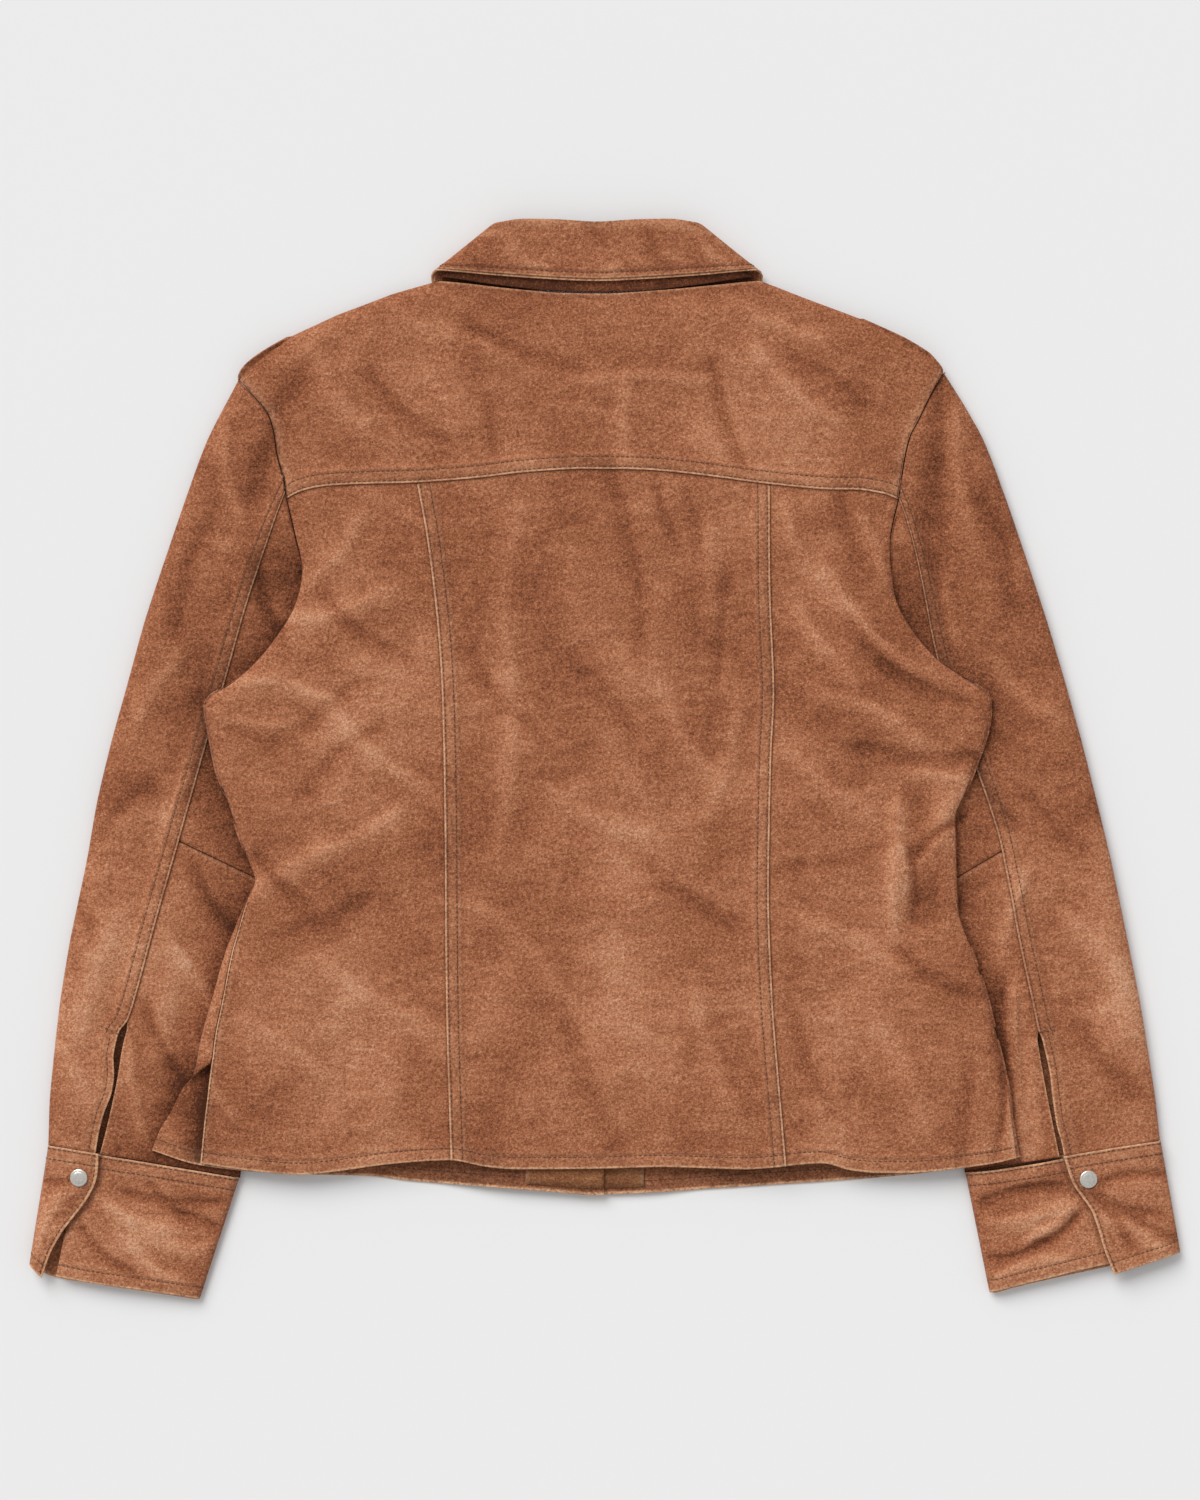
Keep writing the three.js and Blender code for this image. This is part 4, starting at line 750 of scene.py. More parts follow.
def wall_faces(rows, columns):
    """Faces of the outer skin, of the inner skin behind it, and of the rim between them."""
    count = rows * columns
    index = np.arange(count).reshape(rows, columns)
    corners = index[:-1, :-1], index[:-1, 1:], index[1:, 1:], index[1:, :-1]
    outer = np.stack(corners, -1).reshape(-1, 4)
    rim = np.concatenate([index[0, :], index[1:, -1], index[-1, -2::-1], index[-2:0:-1, 0]])
    after = np.roll(rim, -1)
    side_faces = np.stack([rim, rim + count, after + count, after], -1)
    return np.concatenate([outer, outer[:, ::-1] + count, side_faces])


def measured(points):
    """Area of a grid of points, and the lengths of its longest column and row."""
    diagonals = np.cross(points[1:, 1:] - points[:-1, :-1], points[1:, :-1] - points[:-1, 1:])
    steps = [np.linalg.norm(np.diff(points, axis=axis), axis=2).sum(axis=axis) for axis in (0, 1)]
    return np.linalg.norm(diagonals, axis=2).sum() / 2, [step.max() for step in steps]


def write_marks(mesh, marks, shape):
    """Write each mark on the points of both skins. Only the outer skin gets painted light and shade on
    its ridges and troughs.
    """
    for mark in MARKS:
        values = np.broadcast_to(marks.get(mark, 0.0), shape).reshape(-1)
        under = values * (0.0 if mark == "bend" else 1.0)
        layer = mesh.attributes.new(mark, "FLOAT", "POINT")
        layer.data.foreach_set("value", np.concatenate([values, under]).astype(np.float32))


def wall(name, points, finish, probe=(0, 0), up=1, **marks):
    """Closed wall under a grid of outer points, in millimetres. At the probe the outer skin faces
    up (up = 1) or down (up = -1), which settles the way that all of it faces."""
    out = directions(points)
    faces = wall_faces(*points.shape[:2])
    if out[probe][2] * up < 0:
        out = -out
        faces = faces[:, ::-1]
    inside = points - WALL * out
    points = points.copy()
    for skin_points in (points, inside):
        skin_points[..., 2] = np.maximum(skin_points[..., 2], 0)
    places = np.concatenate([points.reshape(-1, 3), inside.reshape(-1, 3)]) * MM
    piece = add_mesh(name, places.tolist(), faces.tolist(), finish)
    marks["tone"] = marks.get("tone", 0.0) + hand_tone(points[..., 0], points[..., 1])
    write_marks(piece.data, marks, points.shape[:2])
    piece.data.polygons.foreach_set("use_smooth", [True] * len(faces))
    piece.data.update()
    area, flat = measured(points)
    built[name] = {"piece": piece, "points": points, "out": out, "area": area, "flat": flat}
    return piece


print("marks on every point:", ", ".join(MARKS))

# %% [markdown]
# Finishes are mixed from a few kinds of pattern, so a short way to write them down comes first.
# Colours are given as they look on a screen, and turned into the even steps of light that the
# mixing needs.
# %% Writing a finish
def srgb(code):
    """A screen colour written as six hex digits, as the linear values that a shader takes."""
    parts = [int(code[i:i + 2], 16) / 255 for i in (0, 2, 4)]
    return tuple(p / 12.92 if p < 0.04045 else ((p + 0.055) / 1.055) ** 2.4 for p in parts) + (1.0,)


class Finish:
    """A short way to write a shader: nodes are made in order and linked by name."""

    def __init__(self, name):
        self.material, self.nodes, self.links = add_material(name)
        self.shader = self.nodes["Principled BSDF"]

    def node(self, kind, values=None, **settings):
        made = self.nodes.new(kind)
        for key, value in settings.items():
            setattr(made, key, value)
        for key, value in (values or {}).items():
            self.set(made.inputs[key], value)
        return made

    def set(self, socket, value):
        if isinstance(value, bpy.types.NodeSocket):
            self.links.new(value, socket)
        else:
            socket.default_value = value

    def noise(self, place, scale, detail=3.0, roughness=0.55, distortion=0.0):
        values = {"Vector": place, "Scale": scale, "Detail": detail, "Roughness": roughness}
        return self.node("ShaderNodeTexNoise", {**values, "Distortion": distortion}).outputs["Fac"]

    def span(self, value, low, high, to_low=0.0, to_high=1.0):
        values = {0: value, 1: low, 2: high, 3: to_low, 4: to_high}
        return self.node("ShaderNodeMapRange", values).outputs[0]

    def blend(self, share, a, b, mode="MIX"):
        made = self.node("ShaderNodeMix", data_type="RGBA", blend_type=mode)
        for key, value in ((0, share), (6, a), (7, b)):
            self.set(made.inputs[key], value)
        return made.outputs[2]

    def maths(self, operation, a, b):
        return self.node("ShaderNodeMath", {0: a, 1: b}, operation=operation).outputs[0]

    def mark(self, name):
        return self.node("ShaderNodeAttribute", attribute_name=name).outputs["Fac"]

    def weighted(self, parts, shares, total=0.0, middle=0.0):
        """Add the named parts to a total, each less a middle value and times its own share."""
        for name, share in shares.items():
            part = self.maths("SUBTRACT", parts[name], middle)
            total = self.maths("ADD", total, self.maths("MULTIPLY", part, share))
        return total

    def ramp(self, value, stops):
        """Read a value between 0 and 1 on a ramp of screen colours."""
        made = self.node("ShaderNodeValToRGB", {"Fac": value})
        while len(made.color_ramp.elements) < len(stops):
            made.color_ramp.elements.new(0.5)
        for element, (at, code) in zip(made.color_ramp.elements, stops):
            element.position, element.color = at, srgb(code)
        return made.outputs["Color"]


print("a screen brown as a shader takes it:", [round(value, 3) for value in srgb("9c6042")])


# %% [markdown]
# Napped suede has no gloss. Its colour changes with the way the nap lies, so hands and folding
# leave pale and dark clouds a few centimetres wide, thin streaks, and a fine speckle where the
# fibres stand. All of these are summed to one tone and read on one ramp of browns, so that every
# shade belongs to the same skin. Crease ridges get painted light and troughs painted shade in
# that tone. The cut edges are rubbed pale, and a little sheen gives the soft light rim that
# velvet and suede have.
# %% The suede
STREAK_SCALE = (45.0, 150.0, 60.0)
TONE_SHARES = {
    "clouds": 0.55, "blotches": 0.2, "streaks": 0.26, "speckle": 0.66, "fibres": 0.75, "pores": 0.24,
}
NAP_SHARES = {"speckle": 0.9, "fibres": 0.4, "blotches": 1.5, "streaks": 1.0}
CREASE_LIGHT_AND_SHADE_SHARE, MIDDLE_TONE, NAP_HEIGHT = 0.15, 0.52, 0.0012
SUEDE_LOOK = {"Roughness": 0.95, "Specular IOR Level": 0.1, "Sheen Weight": 0.12, "Sheen Roughness": 0.4}


def suede_patterns(finish, streak_turn):
    """The patterns that the colour and the nap are summed from, from wide clouds to single pores."""
    place = finish.node("ShaderNodeTexCoord").outputs["Object"]
    turn = {"Rotation": (0, 0, math.radians(streak_turn)), "Scale": STREAK_SCALE}
    turned = finish.node("ShaderNodeMapping", {"Vector": place, **turn}).outputs[0]
    cells = finish.node("ShaderNodeTexVoronoi", {"Vector": place, "Scale": 640.0}).outputs["Distance"]
    return {
        "clouds": finish.noise(place, 15.0, 3.0, 0.5, 0.6),
        "blotches": finish.noise(place, 75.0, 2.0, 0.55, 0.3),
        "streaks": finish.noise(turned, 1.0, 2.0, 0.5, 0.6),
        "speckle": finish.noise(place, 520.0, 1.0, 0.6),
        "fibres": finish.noise(place, 1100.0, 1.0, 0.6),
        "pores": finish.span(cells, 0.1, 0.5, 1.0, 0.32),
    }


def suede(name, ramp, edge, seam_and_shade_dark, streak_turn, bump):
    """Napped suede: one tone, summed from clouds, streaks, nap and painted light and shade on creases,
    read on a ramp.
    """
    finish = Finish(name)
    parts = suede_patterns(finish, streak_turn)
    tone = finish.weighted(parts, TONE_SHARES, finish.mark("tone"), 0.5)
    # Ridges are painted lighter and troughs darker: painted light and shade on the creases.
    tone = finish.maths("ADD", tone, finish.maths("MULTIPLY", finish.mark("bend"), CREASE_LIGHT_AND_SHADE_SHARE))
    colour = finish.ramp(finish.maths("ADD", tone, MIDDLE_TONE), ramp)
    rough_places = finish.span(parts["speckle"], 0.35, 0.6, 0.45, 1.0)
    rubbed = finish.maths("MULTIPLY", finish.mark("worn"), rough_places)
    rubbed = finish.maths("MULTIPLY", rubbed, finish.span(parts["blotches"], 0.35, 0.6, 0.6, 1.0))
    colour = finish.blend(rubbed, colour, edge)
    # Stitch lines and seams are darkened here, and painted shade lies beside raised edges and under the
    # yoke.
    colour = finish.blend(finish.mark("groove"), colour, seam_and_shade_dark)
    nap = {"Height": finish.weighted(parts, NAP_SHARES), "Strength": bump, "Distance": NAP_HEIGHT}
    normal = finish.node("ShaderNodeBump", nap).outputs[0]
    for socket, value in {"Base Color": colour, "Normal": normal, **SUEDE_LOOK}.items():
        finish.set(finish.shader.inputs[socket], value)
    return finish.material


SUEDE_RAMP = [(0.0, "4d2b1c"), (0.25, "77452d"), (0.5, "9c6042"), (0.75, "bb7f5d"), (1.0, "d3a282")]
INSIDE_RAMP = [(0.0, "48291a"), (0.3, "70432b"), (0.6, "91603f"), (1.0, "b98a66")]
# The fourth colour darkens stitch lines and the painted shade beside raised edges.
OUTSIDE = suede("suede", SUEDE_RAMP, srgb("dcab85"), srgb("502c1b"), 22, 0.7)
INSIDE = suede("suede_inside", INSIDE_RAMP, srgb("c79c7b"), srgb("502c1b"), 70, 0.5)
for slot, material in (("suede", OUTSIDE), ("suede_inside", INSIDE)):
    print(slot, "has", len(material.node_tree.nodes), "nodes")

# %% [markdown]
# Where two pieces of suede are sewn, the upper one is folded or cut at the seam and lies on the
# lower. Its edge band holds three layers and stands up by one thickness, and two rows of
# stitches pull a groove beside the edge and another along the inside of the band.
# %% Seam bands
BAND_RISE = 1.25
GROOVE_DEPTH = 0.42
GROOVE_WIDTH = 0.95
EDGE_STEPS = [0, 0.22, 0.6, 1.1, 1.6, 2.3, 3.2, 4.6, 6, 7.1, 7.8, 8.5, 9.2, 10, 11.2, 12.8, 15]
PLAIN_STEPS = [0, 0.5, 1.2, 2.2, 3.6, 5.4, 8, 11, 14.5]


def band(distance, rows, rise=BAND_RISE, width=9.3):
    """Extra height beside a raised edge, with a groove at each row of stitches."""
    height = rise * near(distance, width, 3.2)
    height = height - 0.45 * np.maximum(0, 1 - distance / 0.5) ** 2
    for row in rows:
        height = height - GROOVE_DEPTH * bell(distance, row, GROOVE_WIDTH)
    return height


def band_marks(distance, rows, width=9.3, edge=1.0):
    """Worn and groove shares beside a raised edge."""
    worn = near(distance, 0.6, edge) + 0.11 * near(distance, width, 2.5)
    return worn, sum(0.3 * bell(distance, row, 0.6) for row in rows)


def spread(first, last, width, step):
    """Distances from one border to the other: fine steps at both borders, even ones between."""
    head = [s for s in first if s < 0.42 * width]
    tail = [width - s for s in last if s < 0.42 * width][::-1]
    number = max(2, int(round((tail[0] - head[-1]) / step)))
    return np.array(head + list(np.linspace(head[-1], tail[0], number + 1)[1:-1]) + tail) / width


# Painted light on crease ridges and painted shade in their troughs, read from the crease heights.
def bend_of(x, y):
    sharp = creases(TOP_CREASES, x, y) + 0.6 * creases(MAIN_FOLDS + MAIN_SLEEVE_FOLDS, x, y)
    return np.clip(sharp, -1.4, 1.4)


def row_y(hem, x, level):
    """A level row bends to follow the hem below it and the yoke seam above it."""
    low = np.clip(1 - (level - HEM_Y) / 80, 0, 1) ** 2
    high = np.clip(1 - (YOKE_Y - level) / 70, 0, 1) ** 2
    return level + (hem(x) - HEM_Y) * low + (yoke_seam(x) - YOKE_Y) * high


def seam_x(side, level):
    first_guess = back_seam[side](level)
    return back_seam[side](row_y(back_hem, first_guess, level))


def levels_between(low, high, step, fine_low, fine_high):
    return low + (high - low) * spread(fine_low, fine_high, high - low, step)


print("an edge band is", round(float(band(4.0, [2.0, 8.2])), 2), "mm high, 4 mm in")

# %% [markdown]
# The back is three panels under a yoke. The centre panel lies over both side panels, so its two
# long edges are the raised ones. All three have a folded hem, stitched 8 mm up. The left side
# panel stops short of the fold in its lowest part, where the side vent is open.
# %% The centre panel
HEM_STEPS = [0, 0.3, 0.8, 1.6, 3, 5, 6.9, 7.5, 8, 8.5, 9.2, 10.5, 12.5]
SIDE_EDGE_STEPS = [0, 0.25, 0.6, 1.1, 1.6, 2.4, 3.5, 5, 6.8, 9, 11.5, 14]
FINE, OVERLAP, HALF_SEAM = 2.7, 0.9, 0.15
SEAM_ROWS = [2.0, 8.2]


def hem_height(distance, rise=0.45):
    return band(distance, [8], rise, 9.0)


# A painted shade line on a panel just under the yoke's lower edge.
def painted_shade_under_yoke(level):
    return 0.55 * near(YOKE_Y - level, 0.4, 1.8)


def centre_panel():
    levels = levels_between(HEM_Y, YOKE_Y - SEAM, FINE, HEM_STEPS, PLAIN_STEPS)
    left = seam_x("left", levels) - OVERLAP
    right = seam_x("right", levels) + OVERLAP
    across = spread(EDGE_STEPS, EDGE_STEPS, float((right - left).mean()), FINE)
    x = left[:, None] + (right - left)[:, None] * across
    level = levels[:, None] + 0 * x
    y = row_y(back_hem, x, level)
    z = skin(BODY["left"], x, y, 1.0)
    beside = np.minimum(across, 1 - across) * (right - left)[:, None]
    under_yoke = soften((YOKE_Y - level - 2) / 10)
    z = z + band(beside, SEAM_ROWS) * under_yoke + hem_height(level - HEM_Y)
    worn, groove = band_marks(beside, SEAM_ROWS)
    hem_worn, hem_groove = band_marks(level - HEM_Y, [8], 9.0)
    # Painted shade darkens the panel just under the yoke's edge.
    marks = {"worn": worn + hem_worn, "groove": groove + hem_groove + painted_shade_under_yoke(level)}
    return wall("back_centre", np.stack([x, y, z], -1), OUTSIDE, (40, 40), bend=bend_of(x, y), **marks)


centre_panel()
print("centre panel is", [round(v) for v in built["back_centre"]["flat"]], "mm")

# %% [markdown]
# A side panel lies under the centre panel at one edge and rolls into the side seam, the vent or
# the armhole at the other. A second narrow row of stitches closes the left side down to the vent.
# %% The side panels
def side_borders(side, levels):
    """Where a side panel starts, at the side seam, the vent or the armhole, and where it ends."""
    sign = ACROSS[side]
    vent = (side == "left") & (levels < VENT_TOP_Y)
    gap = 0.45 + 1.1 * bell(levels, 45, 9)
    edge = np.where(vent, back_vent_edge(levels), body_edge[side](levels))
    start = np.where(levels <= UNDERARM[side][1], seam_inset[side](levels) + gap, 2 * HALF_SEAM)
    start = np.where(vent, 0, start)
    return edge - sign * start, seam_x(side, levels) + sign * HALF_SEAM


def side_panel(side):
    levels = levels_between(HEM_Y, YOKE_Y - SEAM, FINE, HEM_STEPS, PLAIN_STEPS)
    first, last = side_borders(side, levels)
    width = abs(last - first)
    across = spread(SIDE_EDGE_STEPS, PLAIN_STEPS, float(width.mean()), FINE)
    x = first[:, None] + (last - first)[:, None] * across
    level = levels[:, None] + 0 * x
    y = row_y(back_hem, x, level)
    z = skin(BODY[side], x, y, 1.0) + hem_height(level - HEM_Y)
    beside_seam, beside_edge = (1 - across) * width[:, None], across * width[:, None]
    worn, groove = band_marks(level - HEM_Y, [8], 9.0)
    # Painted shade darkens the side panel beside the centre panel's edge and under the yoke.
    groove = groove + 0.6 * near(beside_seam, 0.6, 1.8) + painted_shade_under_yoke(level)
    arm, beside_arm = from_armhole(side, x, y), level > UNDERARM[side][1]
    z = z - 0.6 * near(arm, 0, 3) * beside_arm
    groove = groove + 0.5 * near(arm, 0, 1.6) * beside_arm
    sewn = (side == "left") * soften((-92 - level) / 12)
    z = z + band(beside_edge, [1.4], 0.6, 3.0) * sewn
    edge_worn, edge_groove = band_marks(beside_edge, [1.4], 3.0)
    marks = {"worn": worn + edge_worn * sewn, "groove": groove + edge_groove * sewn}
    points = np.stack([x, y, z], -1)
    return wall("back_side_" + side, points, OUTSIDE, (40, 30), bend=bend_of(x, y), **marks)


for side in SIDES:
    side_panel(side)
for name in ("back_centre", "back_side_left", "back_side_right"):
    print(name, "area", round(built[name]["area"] / 1e6, 4), "square metres")

# %% [markdown]
# The yoke covers the shoulders in one piece and rolls over them to meet the fronts. Its lower
# edge is the clearest line on the jacket: it lies on top of all three panels, cut and pale.
# %% The yoke
YOKE_TOP_STEPS = [0, 0.4, 1, 1.8, 3, 4.6, 6.6, 9, 12, 15.5]
YOKE_ENDS, YOKE_ROWS = (-209.8, 194), [2.0, 8.5]
NECK_FIRST, NECK_LAST = 6, 12


def yoke_columns():
    """Places along the yoke, and each one's start at the lower edge and end at the upper."""
    columns = np.array(YOKE_TOP)
    order = np.arange(len(columns))
    end = order[-1]
    fine = np.linspace(0, end, 150)
    fine = np.concatenate([[0, 0.04, 0.12], fine[1:-1], [end - 0.12, end - 0.04, end]])
    start, end_x, end_y = (curve_through(list(zip(order, columns[:, k])))(fine) for k in range(3))
    beside_neck = np.clip(np.minimum(fine - NECK_FIRST, NECK_LAST - fine), 0, 1)
    straight_x, straight_y = (np.interp(fine, order, columns[:, k]) for k in (1, 2))
    end_x = straight_x + (end_x - straight_x) * beside_neck
    end_y = straight_y + (end_y - straight_y) * beside_neck
    start = np.clip(start, YOKE_ENDS[0] + HALF_SEAM, YOKE_ENDS[1] - HALF_SEAM)
    return columns, fine, start, end_x, end_y


def follow_sides(columns, fine, reach, x, y):
    """Bend the outermost columns to the body's outline, and draw them in under the armholes."""
    for side, end, last in (("left", 0, 0), ("right", -1, len(columns) - 1)):
        fade = np.clip(1 - abs(fine - last) / 3, 0, 1)
        chord = columns[end, 0] + (columns[end, 1] - columns[end, 0]) * reach
        near_end = 0.3 * np.clip(1 - abs(fine - last) / 0.3, 0, 1)
        tuck = np.where(abs(fine - last) < 1e-6, 0.3, near_end)
        x = x + (body_edge[side](y) - chord) * fade - ACROSS[side] * tuck
    return x


def yoke():
    columns, fine, start, end_x, end_y = yoke_columns()
    low_y = yoke_seam(start) - OVERLAP
    length = np.hypot(end_x - start, end_y - low_y)
    rows = spread(EDGE_STEPS, YOKE_TOP_STEPS, float(length.mean()), FINE)
    on_neck = (fine >= NECK_FIRST - 0.1) & (fine <= NECK_LAST + 0.1)
    reach = rows[:, None] * (1 - np.where(on_neck, 0.1, 0.12) / length)
    x = start + (end_x - start) * reach
    y = low_y + (end_y - low_y) * reach
    x = follow_sides(columns, fine, reach, x, y)
    beside = reach * length
    z = skin(BODY["left"], x, y, 1.0) + band(beside, YOKE_ROWS)
    worn, groove = band_marks(beside, YOKE_ROWS)
    neck, arm = distance_to(NECK_SEAM, x, y), of_both(np.minimum, from_armhole, x, y)
    worn = worn + 0.5 * near(neck, 0.5, 1.2) + 0.22 * bell(arm, 3, 3)
    groove = groove + 0.5 * near(arm, 0, 1.6) + 0.25 * bell(neck, 2.6, 1)
    z = z - 0.6 * near(arm, 0, 3)
    points = np.stack([x, y, z], -1)
    return wall("yoke", points, OUTSIDE, (25, 70), worn=worn, groove=groove, bend=bend_of(x, y))


yoke()
print("yoke is", [round(v) for v in built["yoke"]["flat"]], "mm")

# %% [markdown]
# The fronts lie underneath, with their good side down. Each starts at the side seam, goes round
# the fold and runs flat to the front edge, and above the underarm it ends at the armhole, the
# shoulder and the neckline. Little of them shows, only the hem below the back and the splayed
# corner at the left vent, but they hold the jacket's form from every other side. A front has many
# close points round its fold and at its edges, and few on the flat.
# %% Rows of the fronts
NECKLINE = {
    "arm": [0, 0.053, 0.16, 0.28, 0.48, 0.68, 0.88, 0.9645, 1],
    "edge": [0, 0, 0, 0, 0, 0, 52, 86, 104],
    "y": [0, 136, 155, 178, 212, 233, 250, 276, 308],
}
TURNS = np.arange(10, 91, 10)
AROUND_FOLD = np.array([1, 0.93, 0.8, 0.62, 0.42, 0.22, 0.08])
FRONT_EDGE_STEPS = np.array([6, 5.1, 4.2, 3.3, 2.2, 1.5, 0.9, 0.4, 0])
SHOULDER_ROWS, FRONT_STEP = 9, 3.6


def turn_in(reach, degrees):
    return reach * (1 - np.cos(np.radians(degrees)))


def front_rows(side):
    """Levels of the rows from the hem to the shoulder, and how far each is up the armhole."""
    low, high = UNDERARM[side][1], SHOULDER_TIP[side][1]
    low_rows = levels_between(HEM_Y, low, FRONT_STEP, HEM_STEPS, [0, FRONT_STEP])
    arm_rows = np.linspace(0.02, 0.9645, 40)
    levels = np.concatenate([low_rows, low + (high - low) * arm_rows])
    return levels, np.concatenate([np.zeros(len(low_rows)), arm_rows])


def front_borders(side, levels, arm, flap):
    """Where each row starts, at the outline, and where it ends, at the front edge or neckline."""
    outline = np.where(flap, vent_front_edge(levels), body_edge[side](levels))
    settle = 6 * near(100 - levels, 0, 200)
    neck_y = np.interp(arm, NECKLINE["arm"], [UNDERARM[side][1] + 6] + NECKLINE["y"][1:])
    edges = [NECK_CENTRE_X + ACROSS[side] * edge for edge in NECKLINE["edge"]]
    neck_x = [at if edge else FRONT_EDGE[side] for at, edge in zip(edges, NECKLINE["edge"])]
    edge_x = np.interp(arm, NECKLINE["arm"], neck_x)
    edge_y = np.where(arm == 0, row_y(front_hem, edge_x, levels) + settle, neck_y)
    start_y = np.where(arm == 0, row_y(front_hem, outline, levels), levels)
    return outline, start_y, edge_x, edge_y


def front_distances(side, levels, arm, flap, width):
    """Distances along each row, round the side fold and on to the edge, and which skin is met."""
    plain = flap | (arm > 0)
    wrap = np.where(plain, 0, np.maximum(seam_inset[side](levels) - 0.05, 0.03))
    head = np.where(arm == 0, 0, 0.3 + 0.5 * soften((0.1 - arm) / 0.05))[:, None]
    around = wrap[:, None] * AROUND_FOLD + head
    around = around + (wrap < 0.01)[:, None] * np.linspace(0, 1.6, len(AROUND_FOLD))
    rolled = np.where(wrap < 0.01, 1.9, 0)[:, None] + head
    turned = turn_in(fold_reach(side, levels)[:, None], TURNS) + rolled
    flat_part = turned[:, -1:] + (width - 7.5 - turned[:, -1:]) * np.linspace(0.015, 1, 66)
    distance = np.concatenate([around, turned, flat_part, width - FRONT_EDGE_STEPS], axis=1)
    up = np.full(distance.shape, -1.0)
    up[:, :len(AROUND_FOLD)] = np.where(plain, -1.0, 1.0)[:, None]
    return distance, up


print("rows in the left front below its shoulder:", len(front_rows("left")[0]))

# %% [markdown]
# The last rows of a front climb from the armhole and neckline to the shoulder seam. Its corner at
# the open vent lies in the shade of the back, so it is a little darker there. Inside each front
# edge lies a facing, a plain strip with its rough side out.
# %% The fronts and their facings
def shoulder_row(side, start_x, share):
    """The shoulder seam, as the row that the front's last rows climb to."""
    x = start_x + (NECK_CENTRE_X + ACROSS[side] * NECKLINE["edge"][-1] - start_x) * share
    x = x + (SHOULDER_TIP[side][0] - start_x) * (1 - share)
    line = sorted(SHOULDER[side])
    return x, np.interp(x, [p[0] for p in line], [p[1] for p in line]) - HALF_SEAM


def climb(rows, target):
    """A grid with more rows, from its last one to a target. Without a target the last repeats."""
    target = rows[-1] if target is None else target
    parts = np.linspace(0.12, 1, SHOULDER_ROWS)
    return np.vstack([rows] + [mix(rows[-1], target, part) for part in parts])


def front_tone(x, y):
    """Darker where the splayed corner lies in the shade of the back, and under the body."""
    outside = back_vent_edge(y) - x
    shade = -0.6 * np.exp(-np.maximum(outside - 1, 0) / 8) * (outside > -8)
    return shade * soften((-198 - y) / 8) - 0.2 * (abs(x) < 240)


def front(side):
    levels, arm = front_rows(side)
    flap = (side == "left") & (levels < FLAP_TOP_Y)
    outline, start_y, edge_x, edge_y = front_borders(side, levels, arm, flap)
    width = np.hypot(edge_x - outline, edge_y - start_y)[:, None]
    distance, up = front_distances(side, levels, arm, flap, width)
    share = distance / width
    x = outline[:, None] + (edge_x - outline)[:, None] * share
    y = start_y[:, None] + (edge_y - start_y)[:, None] * share
    level = levels[:, None] + 0 * x
    low, high = (row_y(front_hem, border, levels)[:, None] for border in (outline, edge_x))
    bow = y + row_y(front_hem, x, level) - (low * (1 - share) + high * share)
    y = np.where((arm == 0)[:, None], bow, y)
    shoulder_x, shoulder_y = shoulder_row(side, outline[-1], share[-1])
    x, y, up = climb(x, shoulder_x), climb(y, shoulder_y), climb(up, None)
    z = skin(BODY[side], x, y, up)
    worn, groove = band_marks(climb(level, None) - HEM_Y, [8], 9.0)
    worn = worn + 0.7 * near(climb((1 - share) * width, None), 0, 1.2)
    marks = {"worn": worn, "groove": groove, "tone": front_tone(x, y)}
    return wall("front_" + side + "_panel", np.stack([x, y, z], -1), OUTSIDE, (30, 60), -1, **marks)


def facing(side):
    levels = np.linspace(-265, 174, 112)[:, None]
    x = np.linspace(FRONT_EDGE[side], FACING_EDGE[side], 18)[None, :] + 0 * levels
    y = np.where(levels < 0, row_y(front_hem, x, levels + 0 * x), levels)
    outer = np.stack([x, y, skin(BODY[side], x, y, -1.0)], -1)
    out = directions(outer)
    out = out * np.where(out[..., 2:] > 0, -1, 1)
    worn = 0.6 * near(abs(x - FACING_EDGE[side]), 0, 1.5)
    return wall("facing_" + side, outer - LAYER * out, INSIDE, (30, 8), -1, worn=worn)


for side in SIDES:
    front(side)
    facing(side)
    print("front", side, [round(v) for v in built["front_" + side + "_panel"]["flat"]], "mm")

# %% [markdown]
# A sleeve is cut in three: an outer piece that wraps the outer fold, and an under sleeve pieced
# at the elbow, because skins are seldom long enough for a whole sleeve. The outer piece lies on
# top at the seam down the back of the arm. Above the cuff the seam is left open as a slit.
# %% Rows of the sleeves
ELBOW_AT, SLIT_AT, SLIT_WIDTH, FRONT_SEAM_AT = 0.55, 0.805, 2.4, 0.72
SLEEVE_LENGTH = 560
SLEEVE_ENDS = [0, 0.6, 1.4, 2.4, 3.8, 5.6, 8]
UNDER_EDGE_STEPS = np.array([0, 0.3, 0.8, 1.5, 2.4, 3.6, 5, 7])
SHADE_BESIDE_BODY = {"left": -0.42, "right": -0.26}
# How far the slit's edge wanders into the outer sleeve: (share of the way down, mm).
SLIT_WAVE = {
    "left": [
        (0, 0), (0.13, 2.0), (0.28, 2.2), (0.42, -0.2), (0.55, -0.9), (0.7, 1.2), (0.83, 1.5),
        (1, 0.2),
    ],
    "right": [(0, 0), (0.15, 0.8), (0.35, 1.6), (0.55, 0.4), (0.75, -0.4), (0.9, 0.5), (1, 0.2)],
}


